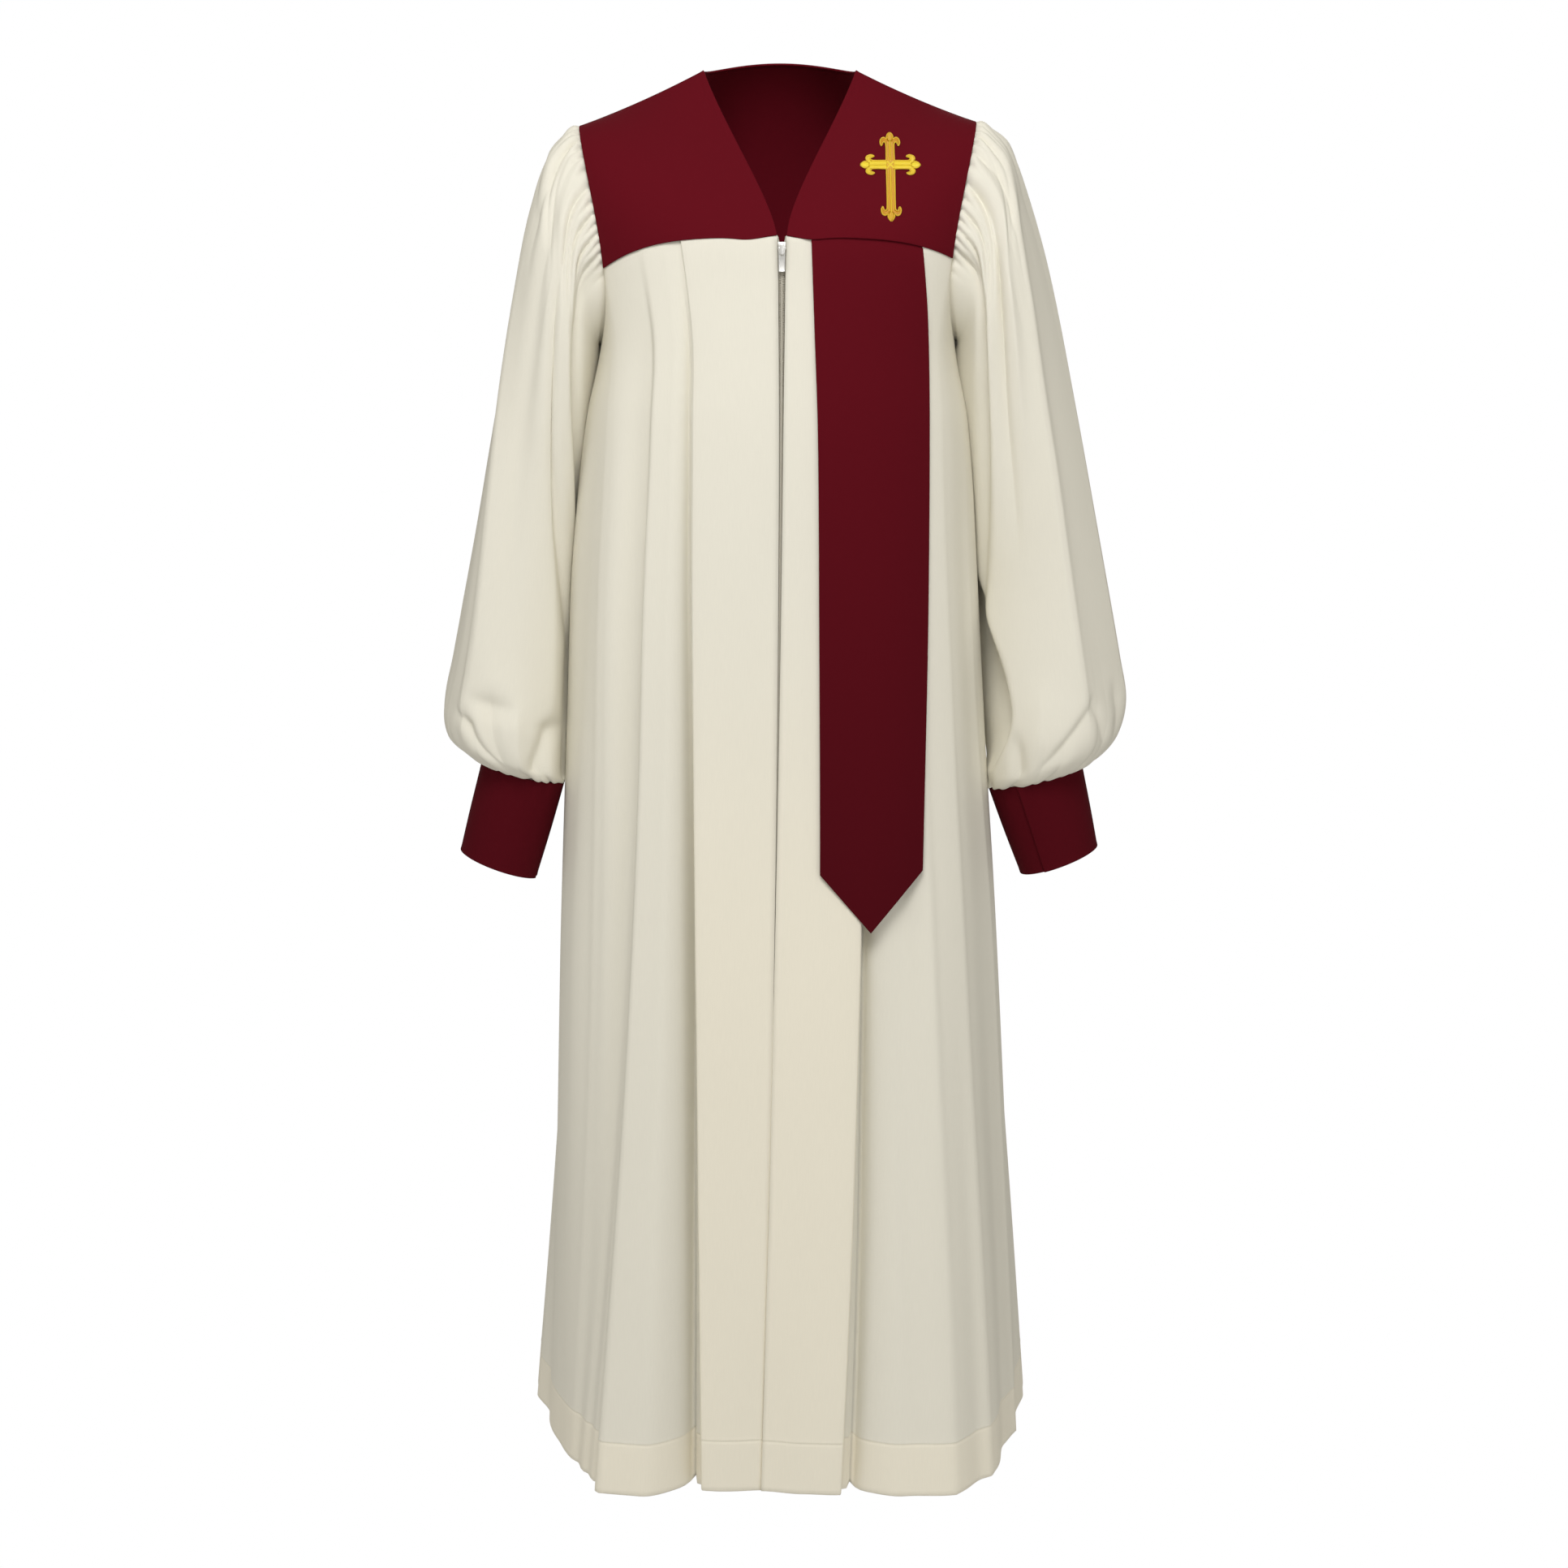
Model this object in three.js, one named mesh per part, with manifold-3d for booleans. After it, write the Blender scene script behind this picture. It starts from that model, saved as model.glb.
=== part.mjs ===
// Choir robe, filled out as it is worn: burgundy yoke, cuffs and one stole panel, cream skirt and
// bishop sleeves, a centre-front zip and a gold embroidered cross fleury.
// Millimetres. +X is the wearer's left, +Y the wearer's back, +Z up. The origin lies midway between
// the high points of the two shoulders. RIGHT and LEFT are the wearer's.
import * as THREE from 'three';
import { TessellateModifier } from 'three/addons/modifiers/TessellateModifier.js';
import { mergeVertices } from 'three/addons/utils/BufferGeometryUtils.js';
import Module from 'manifold-3d';

const wasm = await Module();
wasm.setup();

const RIGHT = -1;
const LEFT = 1;
const { abs, cos, hypot, max, min, sin } = Math;
const radians = THREE.MathUtils.degToRad;
const lerp = THREE.MathUtils.lerp;

// ------------------------------------------------------------------ driving sizes
const HEM = -1357; // a 54 inch robe: 1372 along the cloth from the shoulder's high point
const CLOTH = 1.2; // wall of the cream cloth
const DOUBLE = 2.0; // wall of the lined yoke and cuffs
const STOLE = 1.6; // wall of the stole panel
const SEAM = 0.4; // between two pieces that are sewn edge to edge
const YOKE_SEAM = 0.7; // from the yoke's lower edge down to the skirt's top edge
const SLEEVE_SEAM = { top: 1.0, under: 2.0 }; // from the armhole's edge to the sleeve's, along X

const NECK_HALF = 72.5; // half the neck's width at the shoulder seams
const NECK_BACK = { y: 75, z: 13 }; // middle of the back neckline
const YOKE_FRONT_Z = -159; // front yoke's lower edge beside the zip
const YOKE_BACK_Z = -178; // back yoke's lower edge at the centre
const YOKE_ZIP_GAP = 4.5; // from the zip's line to the yoke's front end
const YOKE_SHARE = 0.6; // share of a front panel's top edge that hangs from the yoke

const ZIP_TOP = -162;
const ZIP_LENGTH = 915; // a 36 inch zip
const ZIP_SWAY = 20; // how far the zip's line wanders to the wearer's right by the hem
const ZIP_GAP = { top: 3.4, hem: 0.5, closedAt: -900 }; // half the gap between the fronts
const PLEAT = { layerGap: 2.6, noseSteps: 3 };

// A table's rows become objects with the named columns.
const table = (names, rows) =>
  rows.map((row) => Object.fromEntries(names.split(' ').map((name, i) => [name, row[i]])));

// Half-sections of the skirt: half widths on the wearer's right and left, front and back depths
// from the origin, how far back it is widest, and how square the section is.
const BODY = table('z right left front back widest power', [
  [-150, 190, 190, 118, 112, 0, 2.4],
  [-205, 182, 179, 120, 116, 1, 2.4],
  [-260, 178, 174, 125, 120, 2, 2.4],
  [-330, 190, 184, 132, 127, 5, 2.4],
  [-480, 203, 191, 140, 140, 12, 2.5],
  [-650, 209, 201, 149, 155, 20, 2.6],
  [-800, 215, 213, 158, 168, 27, 2.7],
  [-1000, 227, 229, 168, 185, 35, 2.8],
  [-1180, 241, 244, 179, 202, 43, 2.9],
  [-1357, 257, 257, 190, 218, 50, 3.0],
]);

// Fold lines across a panel. top and hem are shares of the way from the zip (or the back's centre)
// to the side seam, and the rises are how far the cloth stands out at RISE_FALLS down the panel.
// A row with a tuck is a knife pleat's edge: that much cloth turns back under it.
const RISE_FALLS = [0, 0.25, 0.55, 1];
const FRONT_RIGHT_FOLDS = table('top hem riseTop riseArm riseMid riseHem tuck steps', [
  [0.0, 0.0, 0, 0, 0, 0, 0, 1], // zip edge
  [0.16, 0.07, 0.5, 2, 2, 2, 0, 2], // middle of the flat centre panel
  [0.327, 0.145, 1, 3, 4, 2, 20, 1], // knife pleat
  [0.335, 0.16, -4, -5, -14, -4, 0, 2], // where the side panel comes out of the pleat
  [0.4, 0.28, -2, 2, 4, 28, 0, 2],
  [0.46, 0.38, 0, 3, 3, 28, 0, 1], // edge of the second, soft fold
  [0.51, 0.45, -4, -7, -7, 18, 0, 2], // its valley
  [0.62, 0.52, 0, 1, 3, -8, 0, 1], // front corner
  [0.74, 0.68, 0, -2, -3, -30, 0, 2], // side valley
  [0.88, 0.86, 0, 3, 1, -26, 0, 2], // the side, standing out before the sleeve
  [1.0, 1.0, 0, -6, -5, 0, 0, 0], // side seam, pressed in behind it
]);
const FRONT_LEFT_FOLDS = table('top hem riseTop riseArm riseMid riseHem tuck steps', [
  [0.0, 0.0, 0, 0, 0, 2, 0, 1],
  [0.16, 0.09, 0.5, 2, 2, 8, 0, 2],
  [0.32, 0.175, 1, 3, 4, 12, 20, 1],
  [0.33, 0.19, -4, -5, -12, 6, 0, 2],
  [0.42, 0.31, -2, -5, -8, 22, 0, 2],
  [0.51, 0.41, 0, 1, 3, 30, 0, 2],
  [0.6, 0.5, 0, 2, 4, 14, 0, 2],
  [0.74, 0.68, 0, -2, -2, -15, 0, 2],
  [0.88, 0.86, 0, 4, 1, -11, 0, 2],
  [1.0, 1.0, 0, -6, -5, 0, 0, 0],
]);
// The back's folds are the same on both sides of its centre.
const BACK_FOLDS = table('top hem riseTop riseArm riseMid riseHem tuck steps', [
  [0.0, 0.0, 0, 3, 4, 6, 0, 1],
  [0.12, 0.1, 0, 0, -2, -4, 0, 1],
  [0.26, 0.2, 1, 4, 6, 5, 18, 1],
  [0.27, 0.215, -4, -6, -9, -3, 0, 2],
  [0.42, 0.38, -1, 1, 4, 14, 0, 2],
  [0.6, 0.58, 0, -2, -5, -18, 0, 2],
  [0.76, 0.74, 0, 1, 3, 8, 0, 1],
  [0.88, 0.87, 0, 4, 3, 4, 0, 1],
  [1.0, 1.0, 0, -6, -5, 0, 0, 0],
]);

// Sleeve rings from the armhole to the cuff: the outer and the inner point, half depth, middle.
const SLEEVES = {
  [RIGHT]: table('outX outZ inX inZ depth y', [
    [204, -57, 176.5, -266, 77, 0],
    [222, -74, 180, -284, 80, 0],
    [240, -122, 185, -312, 82, 0],
    [256, -195, 190.5, -350, 80, 2],
    [281, -315, 199.5, -430, 76, 6],
    [305, -444, 205, -520, 76, 7],
    [328, -562, 208.5, -605, 78, 5],
    [337, -612, 210.5, -650, 78, 2],
    [329, -640, 212, -677, 70, -3],
    [310, -657, 213, -684, 54, -7],
    [293.5, -666, 214, -686, 40, -8],
  ]),
  [LEFT]: table('outX outZ inX inZ depth y', [
    [200, -53, 174.5, -262, 77, 0],
    [220, -69, 177.5, -280, 80, 0],
    [240, -118, 181, -308, 82, 0],
    [262, -193, 185, -345, 81, 2],
    [289, -318, 190, -430, 78, 4],
    [314, -444, 194, -520, 77, 4],
    [337, -565, 199, -605, 80, 2],
    [343, -606, 202, -650, 80, 0],
    [335, -638, 205, -680, 71, -4],
    [316, -661, 207, -690, 55, -7],
    [297.5, -670, 208, -692, 41, -8],
  ]),
};
// Long folds down a sleeve: angle round it (0 outer side, 90 front, 180 inner, 270 back), depth
// below the armhole, at mid length and above the cuff, and width, all angles in degrees.
const SLEEVE_FOLDS = table('angle depthTop depthMid depthCuff width', [
  [32, 3, 7, 9, 20],
  [75, 3, 8, 4, 22],
  [118, 2, 9, 10, 22],
  [205, 1, 4, 6, 26],
  [255, 3, 8, 9, 22],
  [310, 2, 8, 6, 24],
]);

const CUFFS = {
  [RIGHT]: { outX: 317, outZ: -757, inX: 244, inZ: -784, lapAngle: 160 },
  [LEFT]: { outX: 315, outZ: -753, inX: 242, inZ: -781, lapAngle: 116 },
};
// lap is the ends' overlap in degrees, step how far they part, below the gap under the sleeve.
const CUFF = { depth: 38, y: -10, lap: 26, step: 1.4, below: 1.45 };

const ARMHOLE = { halfHeight: 104, halfDepth: 75, taper: 24, flare: 30 };
const SHOULDER_TIP = { [RIGHT]: { x: 192, z: -52 }, [LEFT]: { x: 188, z: -48 } };
const YOKE_CORNER = { [RIGHT]: 107, [LEFT]: 104 }; // angle round the armhole

const COLOURS = {
  cream: { color: 0xe2dccb, roughness: 0.82, metalness: 0 },
  burgundy: { color: 0x5c121c, roughness: 0.8, metalness: 0 },
  gold: { color: 0xd79a2b, roughness: 0.45, metalness: 0 },
  tape: { color: 0xd9d2bd, roughness: 0.85, metalness: 0 },
  chain: { color: 0x8d877a, roughness: 0.5, metalness: 0 },
  metal: { color: 0xd8d8d6, roughness: 0.25, metalness: 1 },
};

// ------------------------------------------------------------------ curves shared by the pieces
// Smooth value of a table's column between its rows, with the rows' mean slopes.
function along(rows, key, at, column) {
  const down = rows[0][key] > rows[1][key] ? -1 : 1;
  const clamped = min(max(at * down, rows[0][key] * down), rows.at(-1)[key] * down) * down;
  let i = 0;
  while (i < rows.length - 2 && (clamped - rows[i + 1][key]) * down > 0) i++;
  const slope = (a, b) => (rows[b][column] - rows[a][column]) / (rows[b][key] - rows[a][key]);
  const span = rows[i + 1][key] - rows[i][key];
  const t = (clamped - rows[i][key]) / span;
  const before = slope(max(i - 1, 0), i + 1) * span;
  const after = slope(i, min(i + 2, rows.length - 1)) * span;
  const [a, b] = [rows[i][column], rows[i + 1][column]];
  return a + t * (before + t * (3 * (b - a) - 2 * before - after + t * (2 * (a - b) + before + after)));
}

// 0 at the zip's top and 1 at the hem.
const descent = (z) => min(max((ZIP_TOP - z) / (ZIP_TOP - HEM), 0), 1);
const zipX = (z) => 2 - ZIP_SWAY * descent(z) ** 1.8;
const zipGap = (z) =>
  lerp(ZIP_GAP.top, ZIP_GAP.hem, min(max((ZIP_TOP - z) / (ZIP_TOP - ZIP_GAP.closedAt), 0), 1));

// One side of the skirt's section at height z, from the front's centre round to the back's centre,
// with the length walked so far at each point.
const RING_STEPS = 120;
const rings = new Map();
function ring(side, z) {
  const key = `${side} ${z.toFixed(4)}`;
  if (rings.has(key)) return rings.get(key);
  const row = (column) => along(BODY, 'z', z, column);
  const [half, front, back, widest, power] = [
    row(side === RIGHT ? 'right' : 'left'), row('front'), row('back'), row('widest'), row('power'),
  ];
  const points = [];
  let walked = 0;
  for (let i = 0; i <= RING_STEPS; i++) {
    const angle = radians(-90 + (180 * i) / RING_STEPS);
    const depth = angle < 0 ? front + widest : back - widest;
    const reach = ((abs(cos(angle)) / half) ** power + (abs(sin(angle)) / depth) ** power) ** (-1 / power);
    const [x, y] = [side * reach * cos(angle), widest + reach * sin(angle)];
    if (i) walked += hypot(x - points[i - 1].x, y - points[i - 1].y);
    points.push({ x, y, walked });
  }
  const made = { points, quarter: points[RING_STEPS / 2].walked, whole: walked };
  rings.set(key, made);
  return made;
}

// Point of the skirt's smooth section, walked mm from the front's centre, and stood out by rise.
function skirtPoint(side, z, walked, rise = 0) {
  const { points } = ring(side, z);
  const flip = walked < 0 ? -1 : 1;
  const length = abs(walked);
  let i = 0;
  while (i < RING_STEPS - 1 && points[i + 1].walked < length) i++;
  const [a, b] = [points[i], points[i + 1]];
  const t = (length - a.walked) / (b.walked - a.walked);
  const direction = (from, to) => new THREE.Vector2(to.x - from.x, to.y - from.y).normalize();
  const before = direction(points[max(i - 1, 0)], b);
  const after = direction(a, points[min(i + 2, RING_STEPS)]);
  const walk = before.lerp(after, t).normalize();
  const outward = { x: side * walk.y * flip, y: -side * walk.x };
  return new THREE.Vector3(
    lerp(a.x, b.x, t) * flip + outward.x * rise, lerp(a.y, b.y, t) + outward.y * rise, z,
  );
}

// The armhole's edge: angle 0 at the shoulder's tip, positive to the front, 180 under the arm.
function armhole(side, degrees) {
  const angle = radians(degrees);
  const low = (1 - cos(angle)) / 2;
  return new THREE.Vector3(
    side * (SHOULDER_TIP[side].x - 2 * ARMHOLE.taper * low + ARMHOLE.flare * low ** 4),
    -ARMHOLE.halfDepth * sin(angle),
    SHOULDER_TIP[side].z - 2 * ARMHOLE.halfHeight * low,
  );
}

// The yoke's lower edge, share 0 at the centre and 1 at the armhole; facing is 1 for the front.
function yokeEdge(side, share, facing) {
  const corner = armhole(side, facing * YOKE_CORNER[side]);
  const centreZ = facing > 0 ? YOKE_FRONT_Z : YOKE_BACK_Z;
  const centreX = facing > 0 ? zipX(ZIP_TOP) + side * YOKE_ZIP_GAP : 0;
  const sectionY = (x, z) => {
    const half = along(BODY, 'z', z, side === RIGHT ? 'right' : 'left');
    const power = along(BODY, 'z', z, 'power');
    return -facing * along(BODY, 'z', z, facing > 0 ? 'front' : 'back')
      * (1 - min(abs(x) / half, 1) ** power) ** (1 / power);
  };
  const x = lerp(centreX, corner.x, share);
  const z = lerp(centreZ, corner.z, share ** 4);
  const slip = corner.y - sectionY(corner.x, corner.z);
  return new THREE.Vector3(x, sectionY(x, z) + slip * share ** 2, z);
}

// A panel's top edge, share 0 at the centre: the yoke's edge and then the armhole's lower part.
function panelTop(side, share, facing) {
  if (share <= YOKE_SHARE) return yokeEdge(side, share / YOKE_SHARE, facing);
  const under = (share - YOKE_SHARE) / (1 - YOKE_SHARE);
  return armhole(side, facing * lerp(YOKE_CORNER[side], 180, under));
}

const EDGE_REACH = 240; // how far down a panel its top edge still shapes it

// A panel's point: share across from the centre to the side seam, fall 0 at its top and 1 at the
// hem, back mm of cloth turned back along the section, and rise mm stood out from it.
function panelPoint(side, facing, share, fall, back = 0, rise = 0) {
  const top = panelTop(side, share, facing);
  const z = lerp(top.z - YOKE_SEAM, HEM, fall);
  const walkedAt = (height) => {
    const { quarter, whole } = ring(side, height);
    return lerp(facing > 0 ? side * zipX(height) + zipGap(height) : whole, quarter, share);
  };
  const trimmed = walkedAt(z) - facing * (back + (share * SEAM) / 2);
  const point = skirtPoint(side, z, trimmed, rise);
  const loosen = max(1 - (top.z - z) / EDGE_REACH, 0) ** 2;
  return point.add(top.sub(skirtPoint(side, top.z, walkedAt(top.z))).multiplyScalar(loosen));
}

// Fold lines at one fall, turned into stations: share across, cloth turned back, and rise.
function stations(folds, fall) {
  const rise = ({ riseTop, riseArm, riseMid, riseHem }) => {
    const rows = [riseTop, riseArm, riseMid, riseHem].map((value, k) => ({ fall: RISE_FALLS[k], value }));
    return along(rows, 'fall', fall, 'value');
  };
  const share = ({ top, hem }) => lerp(top, hem, fall);
  const list = [];
  folds.forEach((fold, i) => {
    const next = folds[i + 1];
    if (fold.tuck) {
      const nose = PLEAT.layerGap / 2;
      for (const [back, sink, turn] of [[nose, nose, 1], [fold.tuck, 3 * nose, -1]]) {
        for (let k = 0; k <= PLEAT.noseSteps; k++) {
          const angle = radians((180 * k) / PLEAT.noseSteps);
          list.push({
            share: share(fold),
            back: back - turn * nose * sin(angle),
            rise: rise(fold) - sink + nose * cos(angle),
          });
        }
      }
      return;
    }
    for (let k = 0; k < max(fold.steps, 1); k++) {
      const t = next ? k / fold.steps : 0;
      list.push({
        share: next ? lerp(share(fold), share(next), t) : share(fold),
        back: 0,
        rise: next ? lerp(rise(fold), rise(next), ease(t)) : rise(fold),
      });
    }
  });
  return list;
}
function ease(t) {
  return t * t * (3 - 2 * t);
}

// The edge of the V neck from the shoulder down to the zip, bent towards two points.
const V_UPPER = { x: 52, y: -45, z: -56 };
const V_LOWER = { x: 8, y: -100, z: -122 };
const vEdge = (side) => new THREE.CubicBezierCurve3(
  new THREE.Vector3(side * NECK_HALF, 0, 0),
  new THREE.Vector3(side * V_UPPER.x, V_UPPER.y, V_UPPER.z),
  new THREE.Vector3(side * V_LOWER.x, V_LOWER.y, V_LOWER.z),
  yokeEdge(side, 0, 1),
);
const SHOULDER_DIP = 2.4; // at the middle of the shoulder seam
const shoulderSeam = (side, t) => new THREE.Vector3(side * NECK_HALF, 0, 0)
  .lerp(armhole(side, 0), t).add(new THREE.Vector3(0, 0, -4 * SHOULDER_DIP * t * (1 - t)));

// A patch through four edges: across 0..1 and down 0..1.
function patch(top, bottom, start, end, across, down) {
  const sides = start(down).lerp(end(down), across);
  const ends = top(across).lerp(bottom(across), down);
  const corners = start(0).lerp(end(0), across).lerp(start(1).lerp(end(1), across), down);
  return sides.add(ends).sub(corners);
}

// The front yoke: across 0 at the V neck and 1 at the armhole, down 0 at the shoulder seam.
const frontYoke = (side) => {
  const neck = vEdge(side);
  return (across, down) => patch(
    (t) => shoulderSeam(side, t),
    (t) => yokeEdge(side, t, 1),
    (t) => neck.getPoint(t),
    (t) => armhole(side, YOKE_CORNER[side] * t),
    across, down,
  );
};

// The back yoke, from the wearer's right armhole to the left one.
const SHOULDER_SHARE = 0.31;
function backYokeTop(t) {
  if (t < SHOULDER_SHARE) return shoulderSeam(RIGHT, 1 - t / SHOULDER_SHARE);
  if (t > 1 - SHOULDER_SHARE) return shoulderSeam(LEFT, 1 - (1 - t) / SHOULDER_SHARE);
  const angle = radians((180 * (t - SHOULDER_SHARE)) / (1 - 2 * SHOULDER_SHARE));
  return new THREE.Vector3(
    -NECK_HALF * cos(angle), NECK_BACK.y * sin(angle), NECK_BACK.z * sin(angle) ** 2,
  );
}
const BACK_CROWN = 20; // how far the shoulder blades round the yoke out
function backYoke(across, down) {
  const point = patch(
    backYokeTop,
    (t) => yokeEdge(t < 0.5 ? RIGHT : LEFT, abs(2 * t - 1), -1),
    (t) => armhole(RIGHT, -YOKE_CORNER[RIGHT] * t),
    (t) => armhole(LEFT, -YOKE_CORNER[LEFT] * t),
    across, down,
  );
  const neckline = backYokeTop(across).y * (1 - down) * down;
  const crown = BACK_CROWN * sin(Math.PI * across) * sin(Math.PI * down);
  return point.add(new THREE.Vector3(0, crown - neckline, 0));
}

// ------------------------------------------------------------------ making cloth
// A closed wall round a grid of middle points, rows[j][i]. wraps joins the last column to the
// first, and mitre(i, j, normal) gives a seam's own normal where two walls meet at an angle.
function clothWall(rows, wall, { wraps = false, outward = 1, mitre = () => null } = {}) {
  const [height, width] = [rows.length, rows[0].length];
  const clampRow = (j) => min(max(j, 0), height - 1);
  const column = (i) => (wraps ? (i + width) % width : min(max(i, 0), width - 1));
  const normalAt = (i, j) => {
    const across = rows[j][column(i + 1)].clone().sub(rows[j][column(i - 1)]);
    const down = rows[clampRow(j + 1)][i].clone().sub(rows[clampRow(j - 1)][i]);
    const normal = across.cross(down).normalize().multiplyScalar(outward);
    const seam = mitre(i, j, normal);
    return seam ? seam.clone().divideScalar(max(seam.dot(normal), 0.5)) : normal;
  };
  const positions = [];
  for (const half of [wall / 2, -wall / 2]) {
    rows.forEach((row, j) => row.forEach((point, i) => {
      positions.push(...point.clone().addScaledVector(normalAt(i, j), half).toArray());
    }));
  }
  const outer = (i, j) => j * width + column(i);
  const inner = (i, j) => height * width + outer(i, j);
  const index = [];
  const quad = (a, b, c, d) => {
    const corners = outward > 0 ? [a, b, c, a, c, d] : [a, c, b, a, d, c];
    index.push(...corners);
  };
  const spans = wraps ? width : width - 1;
  for (let j = 0; j < height - 1; j++) {
    for (let i = 0; i < spans; i++) {
      quad(outer(i, j), outer(i + 1, j), outer(i + 1, j + 1), outer(i, j + 1));
      quad(inner(i, j), inner(i, j + 1), inner(i + 1, j + 1), inner(i + 1, j));
    }
    if (!wraps) {
      quad(outer(0, j), outer(0, j + 1), inner(0, j + 1), inner(0, j));
      quad(outer(width - 1, j + 1), outer(width - 1, j), inner(width - 1, j), inner(width - 1, j + 1));
    }
  }
  for (let i = 0; i < spans; i++) {
    quad(outer(i + 1, 0), outer(i, 0), inner(i, 0), inner(i + 1, 0));
    quad(outer(i, height - 1), outer(i + 1, height - 1), inner(i + 1, height - 1), inner(i, height - 1));
  }
  const geometry = new THREE.BufferGeometry();
  geometry.setAttribute('position', new THREE.Float32BufferAttribute(positions, 3));
  geometry.setIndex(index);
  return geometry;
}
const level = (normal) => new THREE.Vector3(normal.x, normal.y, 0).normalize();
const steps = (count, at) => Array.from({ length: count + 1 }, (_, k) => at(k / count));

function toSolid(geometry) {
  const bare = new THREE.BufferGeometry();
  bare.setAttribute('position', geometry.attributes.position.clone());
  if (geometry.index) bare.setIndex(geometry.index.clone());
  const merged = mergeVertices(bare, 1e-4);
  return new wasm.Manifold(new wasm.Mesh({
    numProp: 3,
    vertProperties: new Float32Array(merged.attributes.position.array),
    triVerts: new Uint32Array(merged.index.array),
  }));
}
function joined(geometries) {
  const solid = geometries.map(toSolid).reduce((whole, next) => whole.add(next));
  const mesh = solid.getMesh();
  const geometry = new THREE.BufferGeometry();
  geometry.setAttribute('position', new THREE.Float32BufferAttribute(mesh.vertProperties, 3));
  geometry.setIndex([...mesh.triVerts]);
  return geometry;
}

const robe = new THREE.Group();
function add(name, geometry, colour, parent = robe) {
  const mesh = new THREE.Mesh(geometry, new THREE.MeshStandardMaterial(COLOURS[colour]));
  mesh.name = name;
  parent.add(mesh);
  return mesh;
}

// ------------------------------------------------------------------ yoke
const sideName = (side) => (side === RIGHT ? 'right' : 'left');
const YOKE_CELLS = { across: 7, down: 7, back: 16 };
function seamNormal(side) {
  const run = shoulderSeam(side, 1).sub(shoulderSeam(side, 0));
  return new THREE.Vector3(-run.z * side, 0, run.x * side).normalize();
}
for (const side of [RIGHT, LEFT]) {
  const surface = frontYoke(side);
  const rows = steps(YOKE_CELLS.down, (down) => steps(YOKE_CELLS.across, (across) => {
    const point = surface(across, down);
    if (down === 0) point.y -= SEAM / 2;
    return point;
  }));
  const mitre = (i, j, normal) => {
    if (j === 0) return seamNormal(side);
    return j === YOKE_CELLS.down ? level(normal) : null;
  };
  add(`yoke_front_${sideName(side)}`, clothWall(rows, DOUBLE, { outward: -side, mitre }), 'burgundy');
}
{
  const rows = steps(YOKE_CELLS.down, (down) => steps(YOKE_CELLS.back, (across) => {
    const point = backYoke(across, down);
    if (down === 0) point.y += SEAM / 2;
    return point;
  }));
  const mitre = (i, j, normal) => {
    const t = i / YOKE_CELLS.back;
    if (j > 0) return j === YOKE_CELLS.down ? level(normal) : null;
    if (t < SHOULDER_SHARE) return seamNormal(RIGHT);
    return t > 1 - SHOULDER_SHARE ? seamNormal(LEFT) : null;
  };
  add('yoke_back', clothWall(rows, DOUBLE, { outward: 1, mitre }), 'burgundy');
}

// ------------------------------------------------------------------ skirt panels
const SKIRT_ROWS = [0, 0.03, 0.07, 0.12, 0.2, 0.3, 0.42, 0.55, 0.68, 0.8, 0.91, 1];
const panelRows = (side, facing, folds) => SKIRT_ROWS.map((fall) => stations(folds, fall)
  .map(({ share, back, rise }) => panelPoint(side, facing, share, fall, back, rise)));
// The skirt's top edges end level, and its side seams square to the robe's width.
const skirtMitre = (sideSeams) => (i, j, normal) => {
  if (i in sideSeams) return new THREE.Vector3(sideSeams[i], 0, 0);
  return j === 0 ? level(normal) : null;
};
for (const [side, folds] of [[RIGHT, FRONT_RIGHT_FOLDS], [LEFT, FRONT_LEFT_FOLDS]]) {
  const rows = panelRows(side, 1, folds);
  const mitre = skirtMitre({ [rows[0].length - 1]: side });
  add(`body_front_${sideName(side)}`, clothWall(rows, CLOTH, { outward: -side, mitre }), 'cream');
}
{
  const right = panelRows(RIGHT, -1, BACK_FOLDS);
  const left = panelRows(LEFT, -1, BACK_FOLDS);
  const rows = right.map((row, j) => [...row.slice(1).reverse(), ...left[j]]);
  const mitre = skirtMitre({ 0: RIGHT, [rows[0].length - 1]: LEFT });
  add('body_back', clothWall(rows, CLOTH, { outward: 1, mitre }), 'cream');
}

// ------------------------------------------------------------------ sleeves and cuffs
const SLEEVE_COLUMNS = 24;
function sleeveRing(side, row, share) {
  const middle = new THREE.Vector3(side * (row.outX + row.inX) / 2, row.y, (row.outZ + row.inZ) / 2);
  const reach = new THREE.Vector3(side * (row.outX - row.inX) / 2, 0, (row.outZ - row.inZ) / 2);
  return Array.from({ length: SLEEVE_COLUMNS }, (_, i) => {
    const degrees = (360 * i) / SLEEVE_COLUMNS;
    const shrink = 1 - sleeveFold(degrees, share) / row.depth;
    return middle.clone()
      .addScaledVector(reach, cos(radians(degrees)) * shrink)
      .add(new THREE.Vector3(0, -row.depth * sin(radians(degrees)) * shrink, 0));
  });
}
function sleeveFold(degrees, share) {
  return SLEEVE_FOLDS.reduce((sum, fold) => {
    const away = abs(((degrees - fold.angle + 540) % 360) - 180) / fold.width;
    const depth = share < 0.5
      ? lerp(fold.depthTop, fold.depthMid, share * 2) : lerp(fold.depthMid, fold.depthCuff, share * 2 - 1);
    return sum + depth * Math.exp(-away * away);
  }, 0) * min(share * 6, (1 - share) * 5, 1);
}
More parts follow.
